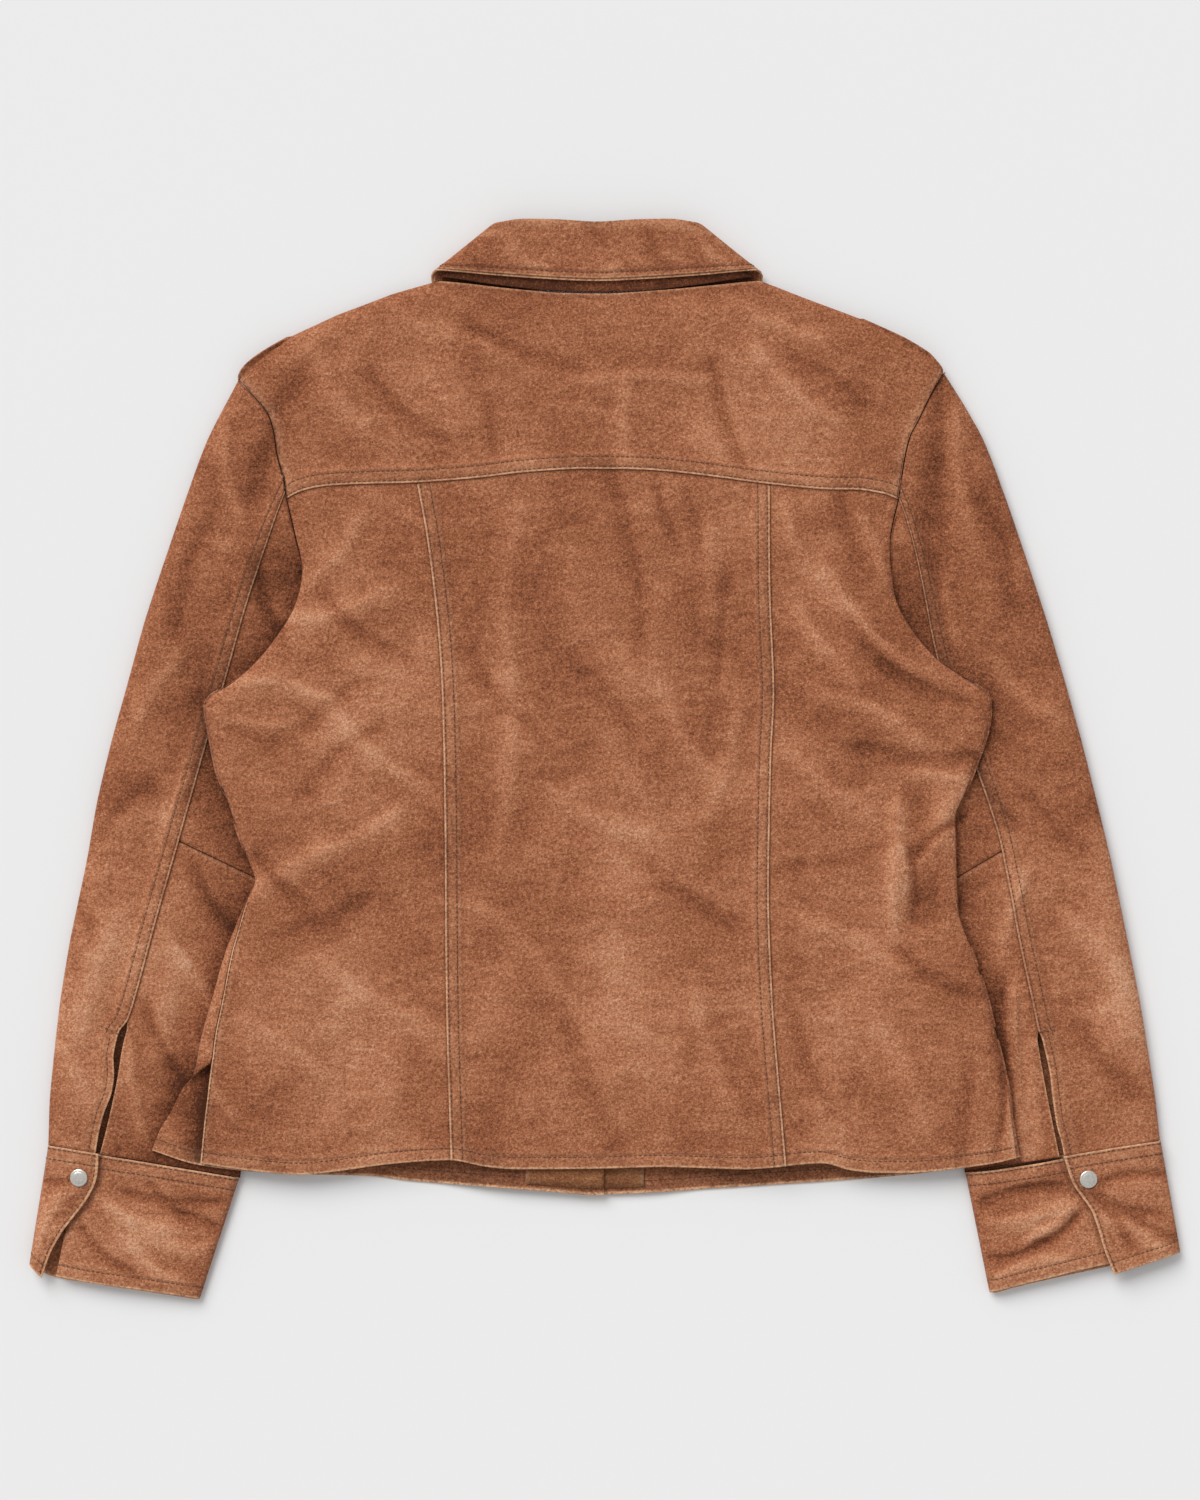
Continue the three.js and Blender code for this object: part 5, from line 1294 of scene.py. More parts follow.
def sleeve_rows(side, along):
    """A function from shares across each row to places, and the rows' widths."""
    outer_y = mix(SLEEVE_OUTER[side][0][0], SLEEVE_OUTER[side][-1][0], along)
    inner_y = mix(UNDERARM[side][1], SLEEVE_INNER[side][-1][0], along)
    outer_x, inner_x = sleeve_outer[side](outer_y), sleeve_inner[side](inner_y)
    bow = np.clip(1 - along / 0.2, 0, 1) ** 2
    tip, corner = SHOULDER_TIP[side], UNDERARM[side]

    def place(share):
        chord = mix(tip[0], corner[0], share)
        arm_bow = (body_edge[side](mix(tip[1], corner[1], share)) - chord) * bow[:, None]
        x = mix(outer_x[:, None], inner_x[:, None], share) + arm_bow
        return x, mix(outer_y[:, None], inner_y[:, None], share)

    return place, np.hypot(inner_x - outer_x, inner_y - outer_y)[:, None]


def seam_share(side, place, count):
    low, high = np.full((count, 1), 0.05), np.full((count, 1), 0.95)
    for _ in range(30):
        middle = (low + high) / 2
        x, y = place(middle)
        outside = ACROSS[side] * (x - sleeve_seam[side](y)) > 0
        low, high = np.where(outside, middle, low), np.where(outside, high, middle)
    return low


elbow_width = sleeve_rows("left", np.array([ELBOW_AT]))[1]
print("left sleeve is", round(float(elbow_width[0, 0])), "mm wide at the elbow seam")

# %% [markdown]
# Across the arm a sleeve is a flattened tube, counted in shares of its width from the outer fold
# to the inner one. The outer sleeve's edge stops at the back seam, and along the slit it wanders
# a little, as soft suede does.
# %% Across a sleeve
def outer_shares(side, along, seam, slit, width):
    """Across an outer sleeve: from the front seam below, round the outer fold, to its edge on top,
    which laps over the back seam and draws back along the slit."""
    outer_reach, half_gap = OUTER_FOLD_REACH / width, HALF_SEAM / width
    down_slit = np.clip((along - SLIT_AT) / (1 - SLIT_AT), 0, 1)
    wave = curve_through(SLIT_WAVE[side])(down_slit)[:, None]
    edge = seam + OVERLAP * (1 - slit) / width - (half_gap + wave / width) * slit
    lower = FRONT_SEAM_AT + 0 * width
    under = lower - half_gap + (outer_reach - lower + half_gap) * np.linspace(0, 0.985, 24)
    folded = turn_in(outer_reach, TURNS)
    tail = edge - np.array(EDGE_STEPS[::-1]) / width
    top = outer_reach + (tail[:, :1] - outer_reach) * np.linspace(0.02, 0.98, 16)
    share = np.concatenate([under, folded[:, ::-1], 0 * width, folded, top, tail], axis=1)
    on_top = np.arange(share.shape[1]) > under.shape[1] + len(TURNS)
    return share, (edge - share) * width, on_top


def under_shares(seam, slit, width):
    """Across an under sleeve: from its edge on top, round the inner fold, to the front seam."""
    inner_reach, half_gap = INNER_FOLD_REACH / width, HALF_SEAM / width
    edge = seam + half_gap + slit * SLIT_WIDTH / width
    head = edge + UNDER_EDGE_STEPS / width
    flat_end = 1 - inner_reach
    top = head[:, -1:] + (flat_end - head[:, -1:]) * np.linspace(0.03, 0.985, 36)
    folded = 1 - turn_in(inner_reach, TURNS)
    lower = FRONT_SEAM_AT + 0 * width
    under = flat_end + (lower + half_gap - flat_end) * np.linspace(0.03, 1, 16)
    share = np.concatenate([head, top, folded[:, ::-1], 1 + 0 * width, folded, under], axis=1)
    on_top = np.arange(share.shape[1]) < head.shape[1] + top.shape[1] + len(TURNS)
    return share, (share - edge) * width, on_top


print("the right slit opens by up to", max(open_by for _, open_by in SLIT_WAVE["right"]), "mm more")

# %% [markdown]
# Two rows of stitches hold the outer sleeve's edge down as far as the slit, where one row goes on
# alone. Each sleeve sinks in a little at the armhole, at the elbow seam and under the cuff.
# %% The sleeves
def sew_outer(z, worn, groove, beside, slit, on_top):
    """Two rows of stitches beside an outer sleeve's sewn edge, and one beside its slit."""
    for share, rows, rise, wear in ((1 - slit, SEAM_ROWS, BAND_RISE, 0.55), (slit, [5], 0.5, 1.0)):
        worn_here, groove_here = band_marks(beside, rows, edge=0.9)
        worn = worn + worn_here * wear * share * on_top
        groove = groove + groove_here * share * on_top
        z = z + band(beside, rows, rise) * share * on_top
    return z, worn, groove


def sew_under(z, worn, groove, beside, slit, on_top, elbow, lower_piece):
    """An under sleeve is drawn in at the back seam and the elbow, has painted shade beside the outer
    sleeve's edge, and is rubbed along the slit.
    """
    groove = groove + 0.6 * near(beside, 0.6, 1.8) * on_top * (1 - slit)
    worn = worn + 0.8 * near(beside, 0, 1.2) * on_top * slit
    groove = groove + 0.5 * near(elbow, 0, 1.5)
    z = z - 0.5 * near(elbow, 0, 2.5) * on_top
    worn = worn + 0.25 * bell(elbow, 2.2, 1) * lower_piece * on_top
    return z, worn, groove


def sleeve_part(side, part, start, stop):
    along = spread(SLEEVE_ENDS, SLEEVE_ENDS, SLEEVE_LENGTH * (stop - start), FINE)
    along = start + (stop - start) * along
    place, width = sleeve_rows(side, along)
    seam = seam_share(side, place, len(along))
    slit = soften((along - SLIT_AT) / 0.02)[:, None]
    if part == "outer":
        share, beside, on_top = outer_shares(side, along, seam, slit, width)
        probe = (20, share.shape[1] - 8)
    else:
        share, beside, on_top = under_shares(seam, slit, width)
        probe = (20, 10)
    x, y = place(share)
    x = x + ACROSS[side] * 0.3 * (along == 0)[:, None]
    y = y + 0.45 * (along == 1)[:, None]
    on_top = np.broadcast_to(on_top, x.shape)
    arm, cuff = along[:, None] * SLEEVE_LENGTH, SLEEVE_LENGTH * (1 - along[:, None])
    z = skin(SLEEVE[side], x, y, np.where(on_top, 1.0, -1.0)) - 0.5 * near(arm, 0, 3) * on_top
    groove = 0.5 * near(arm, 0, 1.6) * on_top + 0.45 * near(cuff, 1, 1.8) * on_top
    if part == "outer":
        z, worn, groove = sew_outer(z, 0 * x, groove, beside, slit, on_top)
    else:
        elbow = abs(along[:, None] - ELBOW_AT) * SLEEVE_LENGTH
        z, worn, groove = sew_under(z, 0 * x, groove, beside, slit, on_top, elbow, start > 0)
    # Painted shade on the sleeve where it runs in under the body, partly cast shadow and partly darker
    # nap.
    tone = SHADE_BESIDE_BODY[side] * np.exp(-outside_body(side, x, y) / 16) * on_top
    marks = {"worn": worn, "groove": groove, "bend": bend_of(x, y) * on_top, "tone": tone}
    name = "sleeve_" + part + "_" + side + "_cut"
    return wall(name, np.stack([x, y, z], -1), OUTSIDE, probe, **marks)


for side in SIDES:
    sleeve_part(side, "outer", 0, 1)
    sleeve_part(side, "upper", 0, ELBOW_AT - 0.0004)
    sleeve_part(side, "lower", ELBOW_AT + 0.0004, 1)
    print("sleeve", side, [round(v) for v in built["sleeve_outer_" + side + "_cut"]["flat"]], "mm")

# %% [markdown]
# Each cuff is one band that goes round the sleeve's end and laps over itself, closed by a snap.
# It is drawn as a row of sections round the arm, from the flap on top to the end tucked under it.
# %% Sections of the cuffs
# Upper end, lower end and height of each section.
CUFF_SECTIONS = {
    "left": [
        (-333.5, -262.2, -371, -343, 11.2), (-341, -260.9, -373.5, -341, 11.2),
        (-352, -259.1, -376, -338.5, 10.8), (-362, -257.4, -378.6, -336, 9.2),
        (-367.5, -256.6, -380, -334.5, 5.4), (-362, -257.4, -377, -337, 1.4),
        (-350, -259.3, -366, -343, 0), (-318, -265.5, -336, -348.5, 0), (-286, -271, -306, -353, 0),
        (-256, -276, -279, -357, 0), (-245, -277.8, -270, -358.4, 0.9),
        (-241, -278.3, -267.5, -358.2, 3.6), (-245, -277.8, -270, -357.2, 6.3),
        (-258, -275.6, -281, -355.3, 7.4),
        (-290, -270.3, -310, -351, 8), (-320, -265.2, -338, -347, 8.4), (-345, -261, -362, -342.5, 8.4),
    ],
    "right": [
        (302.5, -264, 336, -341, 11.2), (314, -262, 343, -338.6, 11.2),
        (334, -258.6, 356, -334.4, 10.9), (356, -255.2, 373, -329, 9.4),
        (367.5, -253.6, 380.5, -326.5, 5.4), (361, -254.6, 375, -327.5, 1.4),
        (346, -257, 360, -331, 0), (318, -261.6, 330, -337.5, 0), (288, -266.4, 300, -344, 0),
        (256, -271.5, 270, -351, 0), (244, -273.6, 259, -354, 0.9), (238.5, -275, 254.5, -353.5, 3.6),
        (243, -274.6, 258, -352.6, 6.3), (256, -273.4, 268, -350, 7.4), (280, -269.8, 294, -343.4, 8),
        (304, -265.4, 322, -336.5, 8.4), (330, -261, 348, -331, 8.4),
    ],
}
CUFF_SNAP = {"left": (-346.5, -277), "right": (319, -278)}
# How far the flap's edge wanders in x: (share of the way down, mm).
FLAP_WAVE = {
    "left": [(0, 0), (0.13, 4.5), (0.25, 6.8), (0.4, 5.6), (0.62, 0), (0.8, -1.6), (1, 0)],
    "right": [(0, 0), (0.22, -1.6), (0.34, 0.6), (0.46, 3.0), (0.62, 2.2), (0.8, 0.4), (1, 0)],
}
FLAP_REACH, CUFF_WIDTH, CUFF_EDGE = 26, 84, 1.3
CUFF_ROWS, FLAP_ROWS = [2.0, 9], [2.6]


def along_sections(table, step, fine):
    """Smooth columns through a table of sections, with fine steps at its first end."""
    table = np.array(table, float)
    run = np.concatenate([[0], np.cumsum(np.linalg.norm(np.diff(table, axis=0), axis=1) / 1.6)])
    at = np.concatenate([fine, np.arange(fine[-1] + step, run[-1] - 0.3 * step, step), [run[-1]]])
    return at, [curve_through(list(zip(run, table[:, k])))(at) for k in range(table.shape[1])]


for side in SIDES:
    print(side, "cuff has", len(CUFF_SECTIONS[side]), "sections")

# %% [markdown]
# On top a cuff lies over the sleeve's end, and the sleeve's creases press through it. Beside the
# snap it is flat. All its edges are rubbed, and beside the flap's edge a thin shadow is painted on
# the band.
# %% The cuffs
def raise_cuff(side, x, y, z, from_top, clear):
    """Lift a cuff's upper side over the sleeve's end, and crease it, though not at the snap."""
    on_top = soften((z - 5.6) / 1.6) * clear
    joined = sleeve_top(side)(x, y) + BAND_RISE
    z = z + (np.maximum(joined, z) - z) * on_top * near(from_top, 3, 22)
    snap_x, snap_y = CUFF_SNAP[side]
    beside_snap = soften((np.hypot(x - snap_x, y - snap_y) - 7) / 8)
    return z + relief(x, y) * on_top * beside_snap * soften(from_top / 12), on_top


def cuff_marks(from_top, from_hem, beside, tucked, past_flap):
    """Worn and grooved places at a cuff's edges, and a painted shadow where the tucked end meets the
    flap.
    """
    worn, groove = band_marks(from_top, CUFF_ROWS, edge=CUFF_EDGE)
    for rows, distance, wide, share in (([8], from_hem, 9.3, 1.0), (FLAP_ROWS, beside, 4, ~tucked)):
        more_worn, more_groove = band_marks(distance, rows, wide, CUFF_EDGE)
        worn, groove = worn + more_worn * share, groove + more_groove * share
    return worn, groove + tucked * 0.5 * bell(past_flap, -1.5, 1.6)


def cuff(side):
    sections = CUFF_SECTIONS[side]
    around, (x1, y1, x2, y2, height) = along_sections(sections, 2.2, np.array(EDGE_STEPS[:12]))
    down = spread(EDGE_STEPS, HEM_STEPS, CUFF_WIDTH, 2.0)
    wave = curve_through(FLAP_WAVE[side])(down)
    x = x1[:, None] + (x2 - x1)[:, None] * down + near(around, 0, FLAP_REACH)[:, None] * wave
    y = y1[:, None] + 0.9 + (y2 - y1 - 0.9)[:, None] * down
    width = np.hypot(x2 - x1, y2 - y1)[:, None]
    from_top, from_hem, beside = down * width, (1 - down) * width, around[:, None] + 0 * x
    flap_x = mix(sections[0][0], sections[0][2], down) + wave
    past_flap = ACROSS[side] * (x - flap_x)
    tucked = (around > around[-1] / 2)[:, None]
    clear = np.where(tucked, soften(-past_flap / 12), 1.0)
    z, on_top = raise_cuff(side, x, y, height[:, None] + 0 * x, from_top, clear)
    z = z + (band(from_top, CUFF_ROWS, 0) + hem_height(from_hem, 0.5)) * on_top
    z = z + band(beside, FLAP_ROWS, 0.4, 4) * (~tucked)
    worn, groove = cuff_marks(from_top, from_hem, beside, tucked, past_flap)
    marks = {"worn": worn, "groove": groove, "bend": bend_of(x, y) * on_top}
    return wall("cuff_" + side + "_cut", np.stack([x, y, z], -1), OUTSIDE, (8, 20), **marks)


for side in SIDES:
    cuff(side)
    print("cuff", side, [round(v) for v in built["cuff_" + side + "_cut"]["flat"]], "mm")

# %% [markdown]
# The collar has a stand sewn to the neckline and a fall that rolls over it. Its sections run from
# one front end round the back of the neck to the other, and the fall is two layers, whose edges
# show as two pale lines with a thin shadow between them.
# %% Sections of the collar
# Distance from the middle of the neck, y and z of the neck edge, then of the fold, then the outer
# edge's distance and y.
COLLAR_SECTIONS = [
    (0, 307, 10.8, 0, 351, 11.6, 0, 314), (34, 308, 10.8, 26, 352.5, 11.6, 35, 315.5),
    (68, 311.8, 10.8, 50, 353, 11.6, 70, 318), (92, 315.5, 10.4, 62, 351.5, 11, 95, 320),
    (102, 317.2, 8.6, 67.5, 349, 9, 106, 319), (103, 316.8, 6.2, 68, 346, 6.5, 108.5, 316),
    (100.5, 311, 4.1, 65.5, 342, 4.3, 107.5, 307), (92.5, 295, 3.3, 59, 331, 3.3, 103, 286),
    (73, 270.5, 3.2, 47, 313, 3.2, 93, 256), (42, 252, 3.2, 30, 298, 3.2, 75, 228),
    (8, 243, 3.2, 8, 286, 3.2, 54, 204),
]
ROLL, FALL_WIDTH, STAND_WIDTH = 1.6, 36, 40
FALL_EDGE_STEPS = [0, 0.3, 0.7, 1.1, 1.4, 1.7, 2.1, 2.8, 4, 5.2, 5.7, 6.2, 6.8, 8, 10]
COLLAR_CREASES = [
    (-62, 344, -40, 322, 0.8, 6, 3), (30, 348, 44, 322, -0.8, 6, 3), (-12, 346, 4, 322, 0.5, 8, 2),
    (66, 338, 86, 322, 0.8, 5, 2), (-88, 334, -74, 322, -0.6, 5, 2),
]


def collar_sections():
    """Places of the neck edge, the fold and the outer edge, from one front end to the other."""
    table = []
    for sign, sections in ((-1, COLLAR_SECTIONS[:0:-1]), (1, COLLAR_SECTIONS)):
        for neck, neck_y, neck_z, fold, fold_y, fold_z, edge, edge_y in sections:
            neck_x, fold_x, edge_x = (NECK_CENTRE_X + sign * at for at in (neck, fold, edge))
            table.append((neck_x, neck_y, neck_z, fold_x, fold_y, fold_z, edge_x, edge_y))
    nx, ny, nz, tx, ty, tz, ex, ey = along_sections(table, 2.6, np.array([0, 0.4, 1.0]))[1]
    return np.stack([nx, ny + 0.2, nz], -1), np.stack([tx, ty, tz], -1), np.stack([ex, ey, nz], -1)


print("collar has", 2 * len(COLLAR_SECTIONS) - 1, "sections")

# %% [markdown]
# The stand is a plain wall from the neck edge to the fold. The fall starts inside the roll, turns
# over it and lies down to its outer edge, where a step shows the lower of its two layers.
# %% The collar
def collar_roll(neck, fold):
    """The direction out of the stand, and the fall's rows where it rolls over the fold."""
    out = np.cross(np.gradient(fold, axis=0), fold - neck)
    out = out / np.linalg.norm(out, axis=1, keepdims=True)
    upward = (fold - neck) / np.linalg.norm(fold - neck, axis=1, keepdims=True)
    centre = fold + out * (ROLL - WALL / 2)
    rolled = []
    for degrees in range(-70, 41, 10):
        turn = math.radians(degrees)
        radius = ROLL + WALL / 2 + 0.35 * float(degrees < -60)
        rolled.append(centre + (upward * math.cos(turn) + out * math.sin(turn)) * radius)
    return out, rolled


def collar_stand(neck, fold):
    across = spread([0, 0.5, 1.2, 2.2], [0, 1, 2.2], STAND_WIDTH, 2.4)[None, :, None]
    stand = neck[:, None] + (fold - neck)[:, None] * across
    sewn = 0.5 * near(across[..., 0] * STAND_WIDTH, 0, 1.8) + 0 * stand[..., 0]
    # The whole stand is painted darker, as shade under the fall.
    wall("stand", stand, OUTSIDE, (len(neck) // 2, 5), groove=sewn, tone=-0.42)


def fall_marks(beside):
    """Two layers show as two worn lines with a painted shadow line between, and the roll is worn too."""
    worn = 0.9 * near(beside, 0.9, 0.4) + 0.8 * bell(beside, 2.0, 0.55)
    folded = 0.25 * near(abs(beside - 38), 0, 6)
    return {"worn": worn + folded, "groove": 0.55 * bell(beside, 1.45, 0.3) + 0.4 * bell(beside, 6, 0.75)}


def collar_fall(neck, fold, edge):
    out, rolled = collar_roll(neck, fold)
    length = np.linalg.norm(edge - fold, axis=1)[:, None]
    shares = spread([0.02 * FALL_WIDTH, 2.4], FALL_EDGE_STEPS, FALL_WIDTH, 2.2)
    lower = [fold + (edge - fold) * share + out * 2 * ROLL for share in shares]
    points = np.stack(rolled + lower, axis=1)
    on_roll = np.full((len(neck), len(rolled)), 40.0)
    beside = np.concatenate([on_roll, (1 - shares)[None, :] * length], axis=1)
    facing_up = np.clip(out[:, 2:], 0, 1) * soften((40 - beside) / 12)
    x, y = points[..., 0], points[..., 1]
    bends = creases(COLLAR_CREASES, x, y)
    step = -0.95 * near(beside, 1.35, 0.5) - GROOVE_DEPTH * bell(beside, 6, GROOVE_WIDTH)
    points[..., 2] += ((bends + 0.7 * waves(x, y)) * soften(beside / 9) + step) * facing_up
    marks = {"bend": np.clip(bends, -1.4, 1.4) * facing_up, **fall_marks(beside)}
    wall("fall", points, OUTSIDE, (len(neck) // 2, points.shape[1] - 12), **marks)


neck_edge, collar_fold, outer_edge = collar_sections()
collar_stand(neck_edge, collar_fold)
collar_fall(neck_edge, collar_fold, outer_edge)
print("collar fall", [round(v) for v in built["fall"]["flat"]], "mm")

# %% [markdown]
# The snaps have bare domed caps of pale nickel with a turned rim. A cap is a profile spun round
# its middle, which is how the real one is pressed.
# %% The snap caps
SNAP_PROFILE = [
    (0, 1.5), (1.6, 1.5), (3.1, 1.42), (3.9, 1.3), (4.3, 1.12), (4.6, 1.16), (5.1, 1.12), (5.5, 0.95),
    (5.8, 0.7), (5.9, 0.42), (5.8, 0.16), (5.4, 0), (0, 0),
]
SNAP_TURNS = 48
FRONT_SNAP_LEVELS = [176, 92, 8, -76, -160, -244]
nickel_finish = Finish("snap_metal")
nickel = nickel_finish.material
nickel_place = nickel_finish.node("ShaderNodeTexCoord").outputs["Object"]
scuffs = nickel_finish.noise(nickel_place, 900.0, 3.0, 0.6)
shade = nickel_finish.blend(nickel_finish.span(scuffs, 0.35, 0.7), srgb("e4e0d9"), srgb("bfbab1"))
nickel_finish.set(nickel_finish.shader.inputs["Base Color"], shade)
nickel_finish.shader.inputs["Metallic"].default_value = 0.75
nickel_roughness = nickel_finish.span(scuffs, 0.3, 0.7, 0.24, 0.4)
nickel_finish.set(nickel_finish.shader.inputs["Roughness"], nickel_roughness)


def snap_shape():
    """Points and faces of a cap that lies with its back at the origin and its dome upward."""
    turns = np.linspace(0, 2 * math.pi, SNAP_TURNS, endpoint=False)
    points = [(0, 0, SNAP_PROFILE[0][1])]
    for radius, height in SNAP_PROFILE[1:-1]:
        points += [(radius * math.cos(t), radius * math.sin(t), height) for t in turns]
    points.append((0, 0, 0))
    last = len(points) - 1 - SNAP_TURNS
    faces = []
    for i in range(SNAP_TURNS):
        j = (i + 1) % SNAP_TURNS
        faces.append((0, 1 + i, 1 + j))
        for a in range(1, last, SNAP_TURNS):
            faces.append((a + i, a + SNAP_TURNS + i, a + SNAP_TURNS + j, a + j))
        faces.append((last + i, len(points) - 1, last + j))
    return np.array(points), faces


def snap_cap(name, place, tilt=0.0, down=False):
    points, faces = snap_shape()
    if down:
        points, faces = points * (1, 1, -1), [face[::-1] for face in faces]
    lean = math.radians(tilt)
    x = points[:, 0] * math.cos(lean) + points[:, 2] * math.sin(lean)
    z = points[:, 2] * math.cos(lean) - points[:, 0] * math.sin(lean)
    points = np.stack([x, points[:, 1], z], -1) + place
    cap = add_mesh(name, (points * MM).tolist(), faces, nickel)
    cap.data.polygons.foreach_set("use_smooth", [True] * len(faces))
    return cap


caps = []
for side in SIDES:
    cap = snap_cap("snap_cuff_" + side, (*CUFF_SNAP[side], 11.5), tilt=-7 if side == "left" else 2)
    caps.append((cap, "cuff_snap_" + side))
front_middle = (FRONT_EDGE["left"] + FRONT_EDGE["right"]) / 2
for number, snap_y in enumerate(FRONT_SNAP_LEVELS, start=1):
    cap = snap_cap(f"snap_front_{number}", (front_middle, snap_y, 1.5), down=True)
    caps.append((cap, f"front_snap_{number}"))
print(len(caps), "snap caps")

# %% [markdown]
# The stitches are what makes a seam read as sewn. Each row follows a piece's own edge at a set
# distance, so the row is found on the piece's grid of points. A row that runs under another
# piece is cut off there, and two short bars close the top of the sleeves' slits.
# %% Rows of stitches
STITCH_LENGTH, STITCH_PITCH, STITCH_WIDTH = 2.5, 3.3, 0.62


def track(name, border, distance, inside=False):
    """Points on a piece at a set distance from one border of its grid."""
    points, out = built[name]["points"], built[name]["out"]
    points = points - (WALL + 0.1) * out if inside else points + 0.08 * out
    if "column" in border:
        points = points.transpose(1, 0, 2)
    if "last" in border:
        points = points[::-1]
    run = np.cumsum(np.linalg.norm(np.diff(points, axis=0), axis=2), axis=0)
    run = np.vstack([np.zeros((1, run.shape[1])), run])
    line = []
    for j in range(points.shape[1]):
        k = min(np.searchsorted(run[:, j], distance), len(run) - 1)
        share = (distance - run[k - 1, j]) / max(run[k, j] - run[k - 1, j], 1e-6)
        line.append(mix(points[k - 1, j], points[k, j], min(share, 1.0)))
    return np.array(line)


def cut_line(line, keep):
    """The stretch of a line where keep holds."""
    return line[keep(line[:, 0], line[:, 1])]


rows = [track("yoke", "first_row", d) for d in (2.0, 8.5)]
for border in ("first_column", "last_column"):
    rows += [cut_line(track("back_centre", border, d), lambda x, y: y < 182) for d in (2.0, 8.2)]
rows += [track(name, "first_row", 8) for name in ("back_centre", "back_side_left", "back_side_right")]
rows.append(cut_line(track("back_side_left", "first_column", 1.4), lambda x, y: y < -95))
for side in SIDES:
    sleeve, cuff_name = "sleeve_outer_" + side + "_cut", "cuff_" + side + "_cut"
    rows += [cut_line(track(sleeve, "last_column", d), lambda x, y: y > -182) for d in (2.0, 8.2)]
    rows.append(cut_line(track(sleeve, "last_column", 5), lambda x, y: y < -184))
    rows += [track(cuff_name, "first_column", d) for d in (2.0, 9)]
    rows += [track(cuff_name, "last_column", 8), track(cuff_name, "first_row", 2.6)[4:-4]]
    rows.append(track("front_" + side + "_panel", "first_row", 8, inside=True))
rows.append(track("fall", "last_column", 6))
for side, ends in (("left", ((-332, -177), (-318, -183.5))), ("right", ((287, -181), (296, -179.5)))):
    bar = np.linspace(*ends, 6)
    height = skin(SLEEVE[side], bar[:, 0], bar[:, 1], 1.0) + 1.3
    rows.append(np.column_stack([bar, height]))

print(len(rows), "rows,", round(sum(len(row) for row in rows) / len(rows)), "places in each on average")

# %% [markdown]
# One stitch is a short bead of waxed thread, thicker in the middle. Geometry Nodes will put one
# after another along all the rows, which is how a machine lays them, and the result is kept as a
# plain mesh.
# %% One stitch
def stitch_mesh():
    rings, around = 5, 6
    points = [(-0.5, 0, 0)]
    for ring in range(1, rings):
        t = math.pi * ring / rings
        points += [(-0.5 * math.cos(t), 0.5 * math.sin(t) * math.cos(a), 0.5 * math.sin(t) * math.sin(a))
                   for a in np.linspace(0, 2 * math.pi, around, endpoint=False)]
    points.append((0.5, 0, 0))
    faces = []
    for i in range(around):
        j = (i + 1) % around
        faces.append((0, 1 + j, 1 + i))
        for ring in range(rings - 2):
            a = 1 + ring * around
            faces.append((a + i, a + j, a + around + j, a + around + i))
        last = 1 + (rings - 2) * around
        faces.append((last + i, last + j, len(points) - 1))
    sized = np.array(points) * (STITCH_LENGTH, STITCH_WIDTH, 0.8 * STITCH_WIDTH) * MM
    return sized.tolist(), faces


stitch_points, stitch_faces = stitch_mesh()
print("one stitch has", len(stitch_faces), "faces")

# %% [markdown]
# The rows become edges of one mesh. The nodes turn them into curves, set a point at every pitch
# of the machine, and lay the bead along the curve at each point. The thread is a little darker
# than the suede.
# %% Stitches along the rows
thread_finish = Finish("thread")
thread_place = thread_finish.node("ShaderNodeTexCoord").outputs["Object"]
thread_shade = thread_finish.span(thread_finish.noise(thread_place, 260.0, 2.0), 0.35, 0.65)
thread_colour = thread_finish.blend(thread_shade, srgb("4a2817"), srgb("683d2a"))
thread_finish.set(thread_finish.shader.inputs["Base Color"], thread_colour)
thread_finish.shader.inputs["Roughness"].default_value = 0.7
thread = thread_finish.material

stitch = add_mesh("one_stitch", stitch_points, stitch_faces, thread)
lines, edges = [], []
for row in rows:
    edges += [(len(lines) + i, len(lines) + i + 1) for i in range(len(row) - 1)]
    lines += (row * MM).tolist()
row_mesh = bpy.data.meshes.new("stitches")
row_mesh.from_pydata(lines, edges, [])
row_piece = bpy.data.objects.new("stitches", row_mesh)
bpy.context.collection.objects.link(row_piece)

tree = bpy.data.node_groups.new("stitches_along_rows", "GeometryNodeTree")
tree.interface.new_socket("Geometry", in_out="INPUT", socket_type="NodeSocketGeometry")
pitch_socket = tree.interface.new_socket("Pitch", in_out="INPUT", socket_type="NodeSocketFloat")
tree.interface.new_socket("Geometry", in_out="OUTPUT", socket_type="NodeSocketGeometry")


def tree_node(kind, **settings):
    made = tree.nodes.new(kind)
    for key, value in settings.items():
        setattr(made, key, value)
    return made


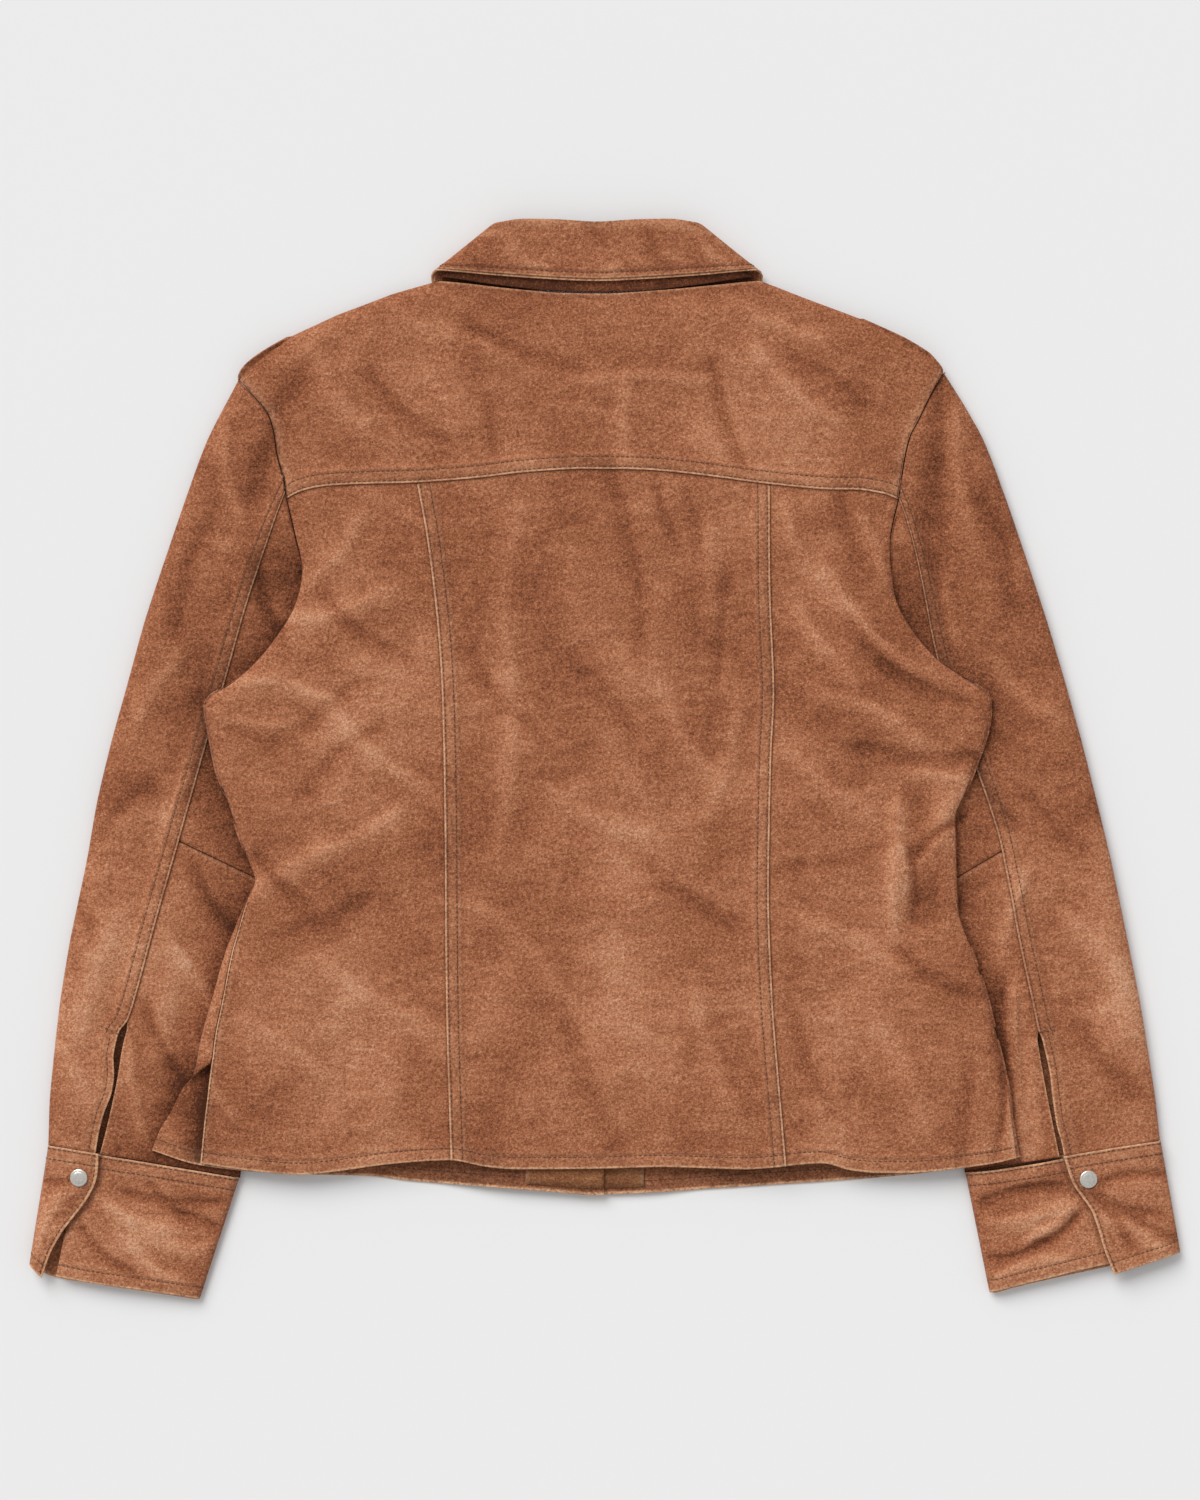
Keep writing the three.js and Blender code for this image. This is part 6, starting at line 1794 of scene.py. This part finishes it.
group_in, group_out = tree_node("NodeGroupInput"), tree_node("NodeGroupOutput")
to_curve = tree_node("GeometryNodeMeshToCurve")
resample = tree_node("GeometryNodeResampleCurve", mode="LENGTH")
tangent = tree_node("GeometryNodeInputTangent")
align = tree_node("FunctionNodeAlignRotationToVector", axis="X")
source = tree_node("GeometryNodeObjectInfo")
source.inputs["Object"].default_value = stitch
on_points = tree_node("GeometryNodeInstanceOnPoints")
realize, paint = tree_node("GeometryNodeRealizeInstances"), tree_node("GeometryNodeSetMaterial")
paint.inputs["Material"].default_value = thread
for start, end in (
    (group_in.outputs["Geometry"], to_curve.inputs[0]),
    (to_curve.outputs[0], resample.inputs["Curve"]),
    (group_in.outputs["Pitch"], resample.inputs["Length"]),
    (resample.outputs[0], on_points.inputs["Points"]),
    (source.outputs["Geometry"], on_points.inputs["Instance"]),
    (tangent.outputs[0], align.inputs["Vector"]),
    (align.outputs[0], on_points.inputs["Rotation"]),
    (on_points.outputs[0], realize.inputs[0]),
    (realize.outputs[0], paint.inputs["Geometry"]),
    (paint.outputs[0], group_out.inputs[0]),
):
    tree.links.new(start, end)
sewing = row_piece.modifiers.new("sewing", "NODES")
sewing.node_group = tree
sewing[pitch_socket.identifier] = STITCH_PITCH * MM
graph = bpy.context.evaluated_depsgraph_get()
sewn_mesh = bpy.data.meshes.new_from_object(row_piece.evaluated_get(graph))
row_piece.modifiers.clear()
row_piece.data = sewn_mesh
bpy.data.objects.remove(stitch)
sewn_mesh.polygons.foreach_set("use_smooth", [True] * len(sewn_mesh.polygons))
print(len(rows), "rows of stitches,", len(sewn_mesh.polygons), "faces")

# %% [markdown]
# At the end each piece is tied to the solid that it dresses, and that solid is hidden. The flat
# size of each cloth piece was measured on its own grid: its longest row and column, and the area
# between them.
# %% Tie the pieces to the frame
DRESSES = {
    "yoke": "back_yoke", "back_centre": "back_centre_panel", "stand": "collar_stand",
    "fall": "collar_fall",
}
for side in SIDES:
    DRESSES.update({
        "back_side_" + side: "back_side_panel_" + side,
        "front_" + side + "_panel": "front_" + side,
        "facing_" + side: "front_facing_" + side,
        "sleeve_outer_" + side + "_cut": "sleeve_outer_" + side,
        "sleeve_upper_" + side + "_cut": "sleeve_under_upper_" + side,
        "sleeve_lower_" + side + "_cut": "sleeve_under_lower_" + side,
        "cuff_" + side + "_cut": "cuff_" + side,
    })
for name, node in DRESSES.items():
    made = built[name]
    piece = made["piece"]
    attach(piece, "root")
    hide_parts(node)
for cap, node in caps:
    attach(cap, "root")
    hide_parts(node)
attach(row_piece, "root")
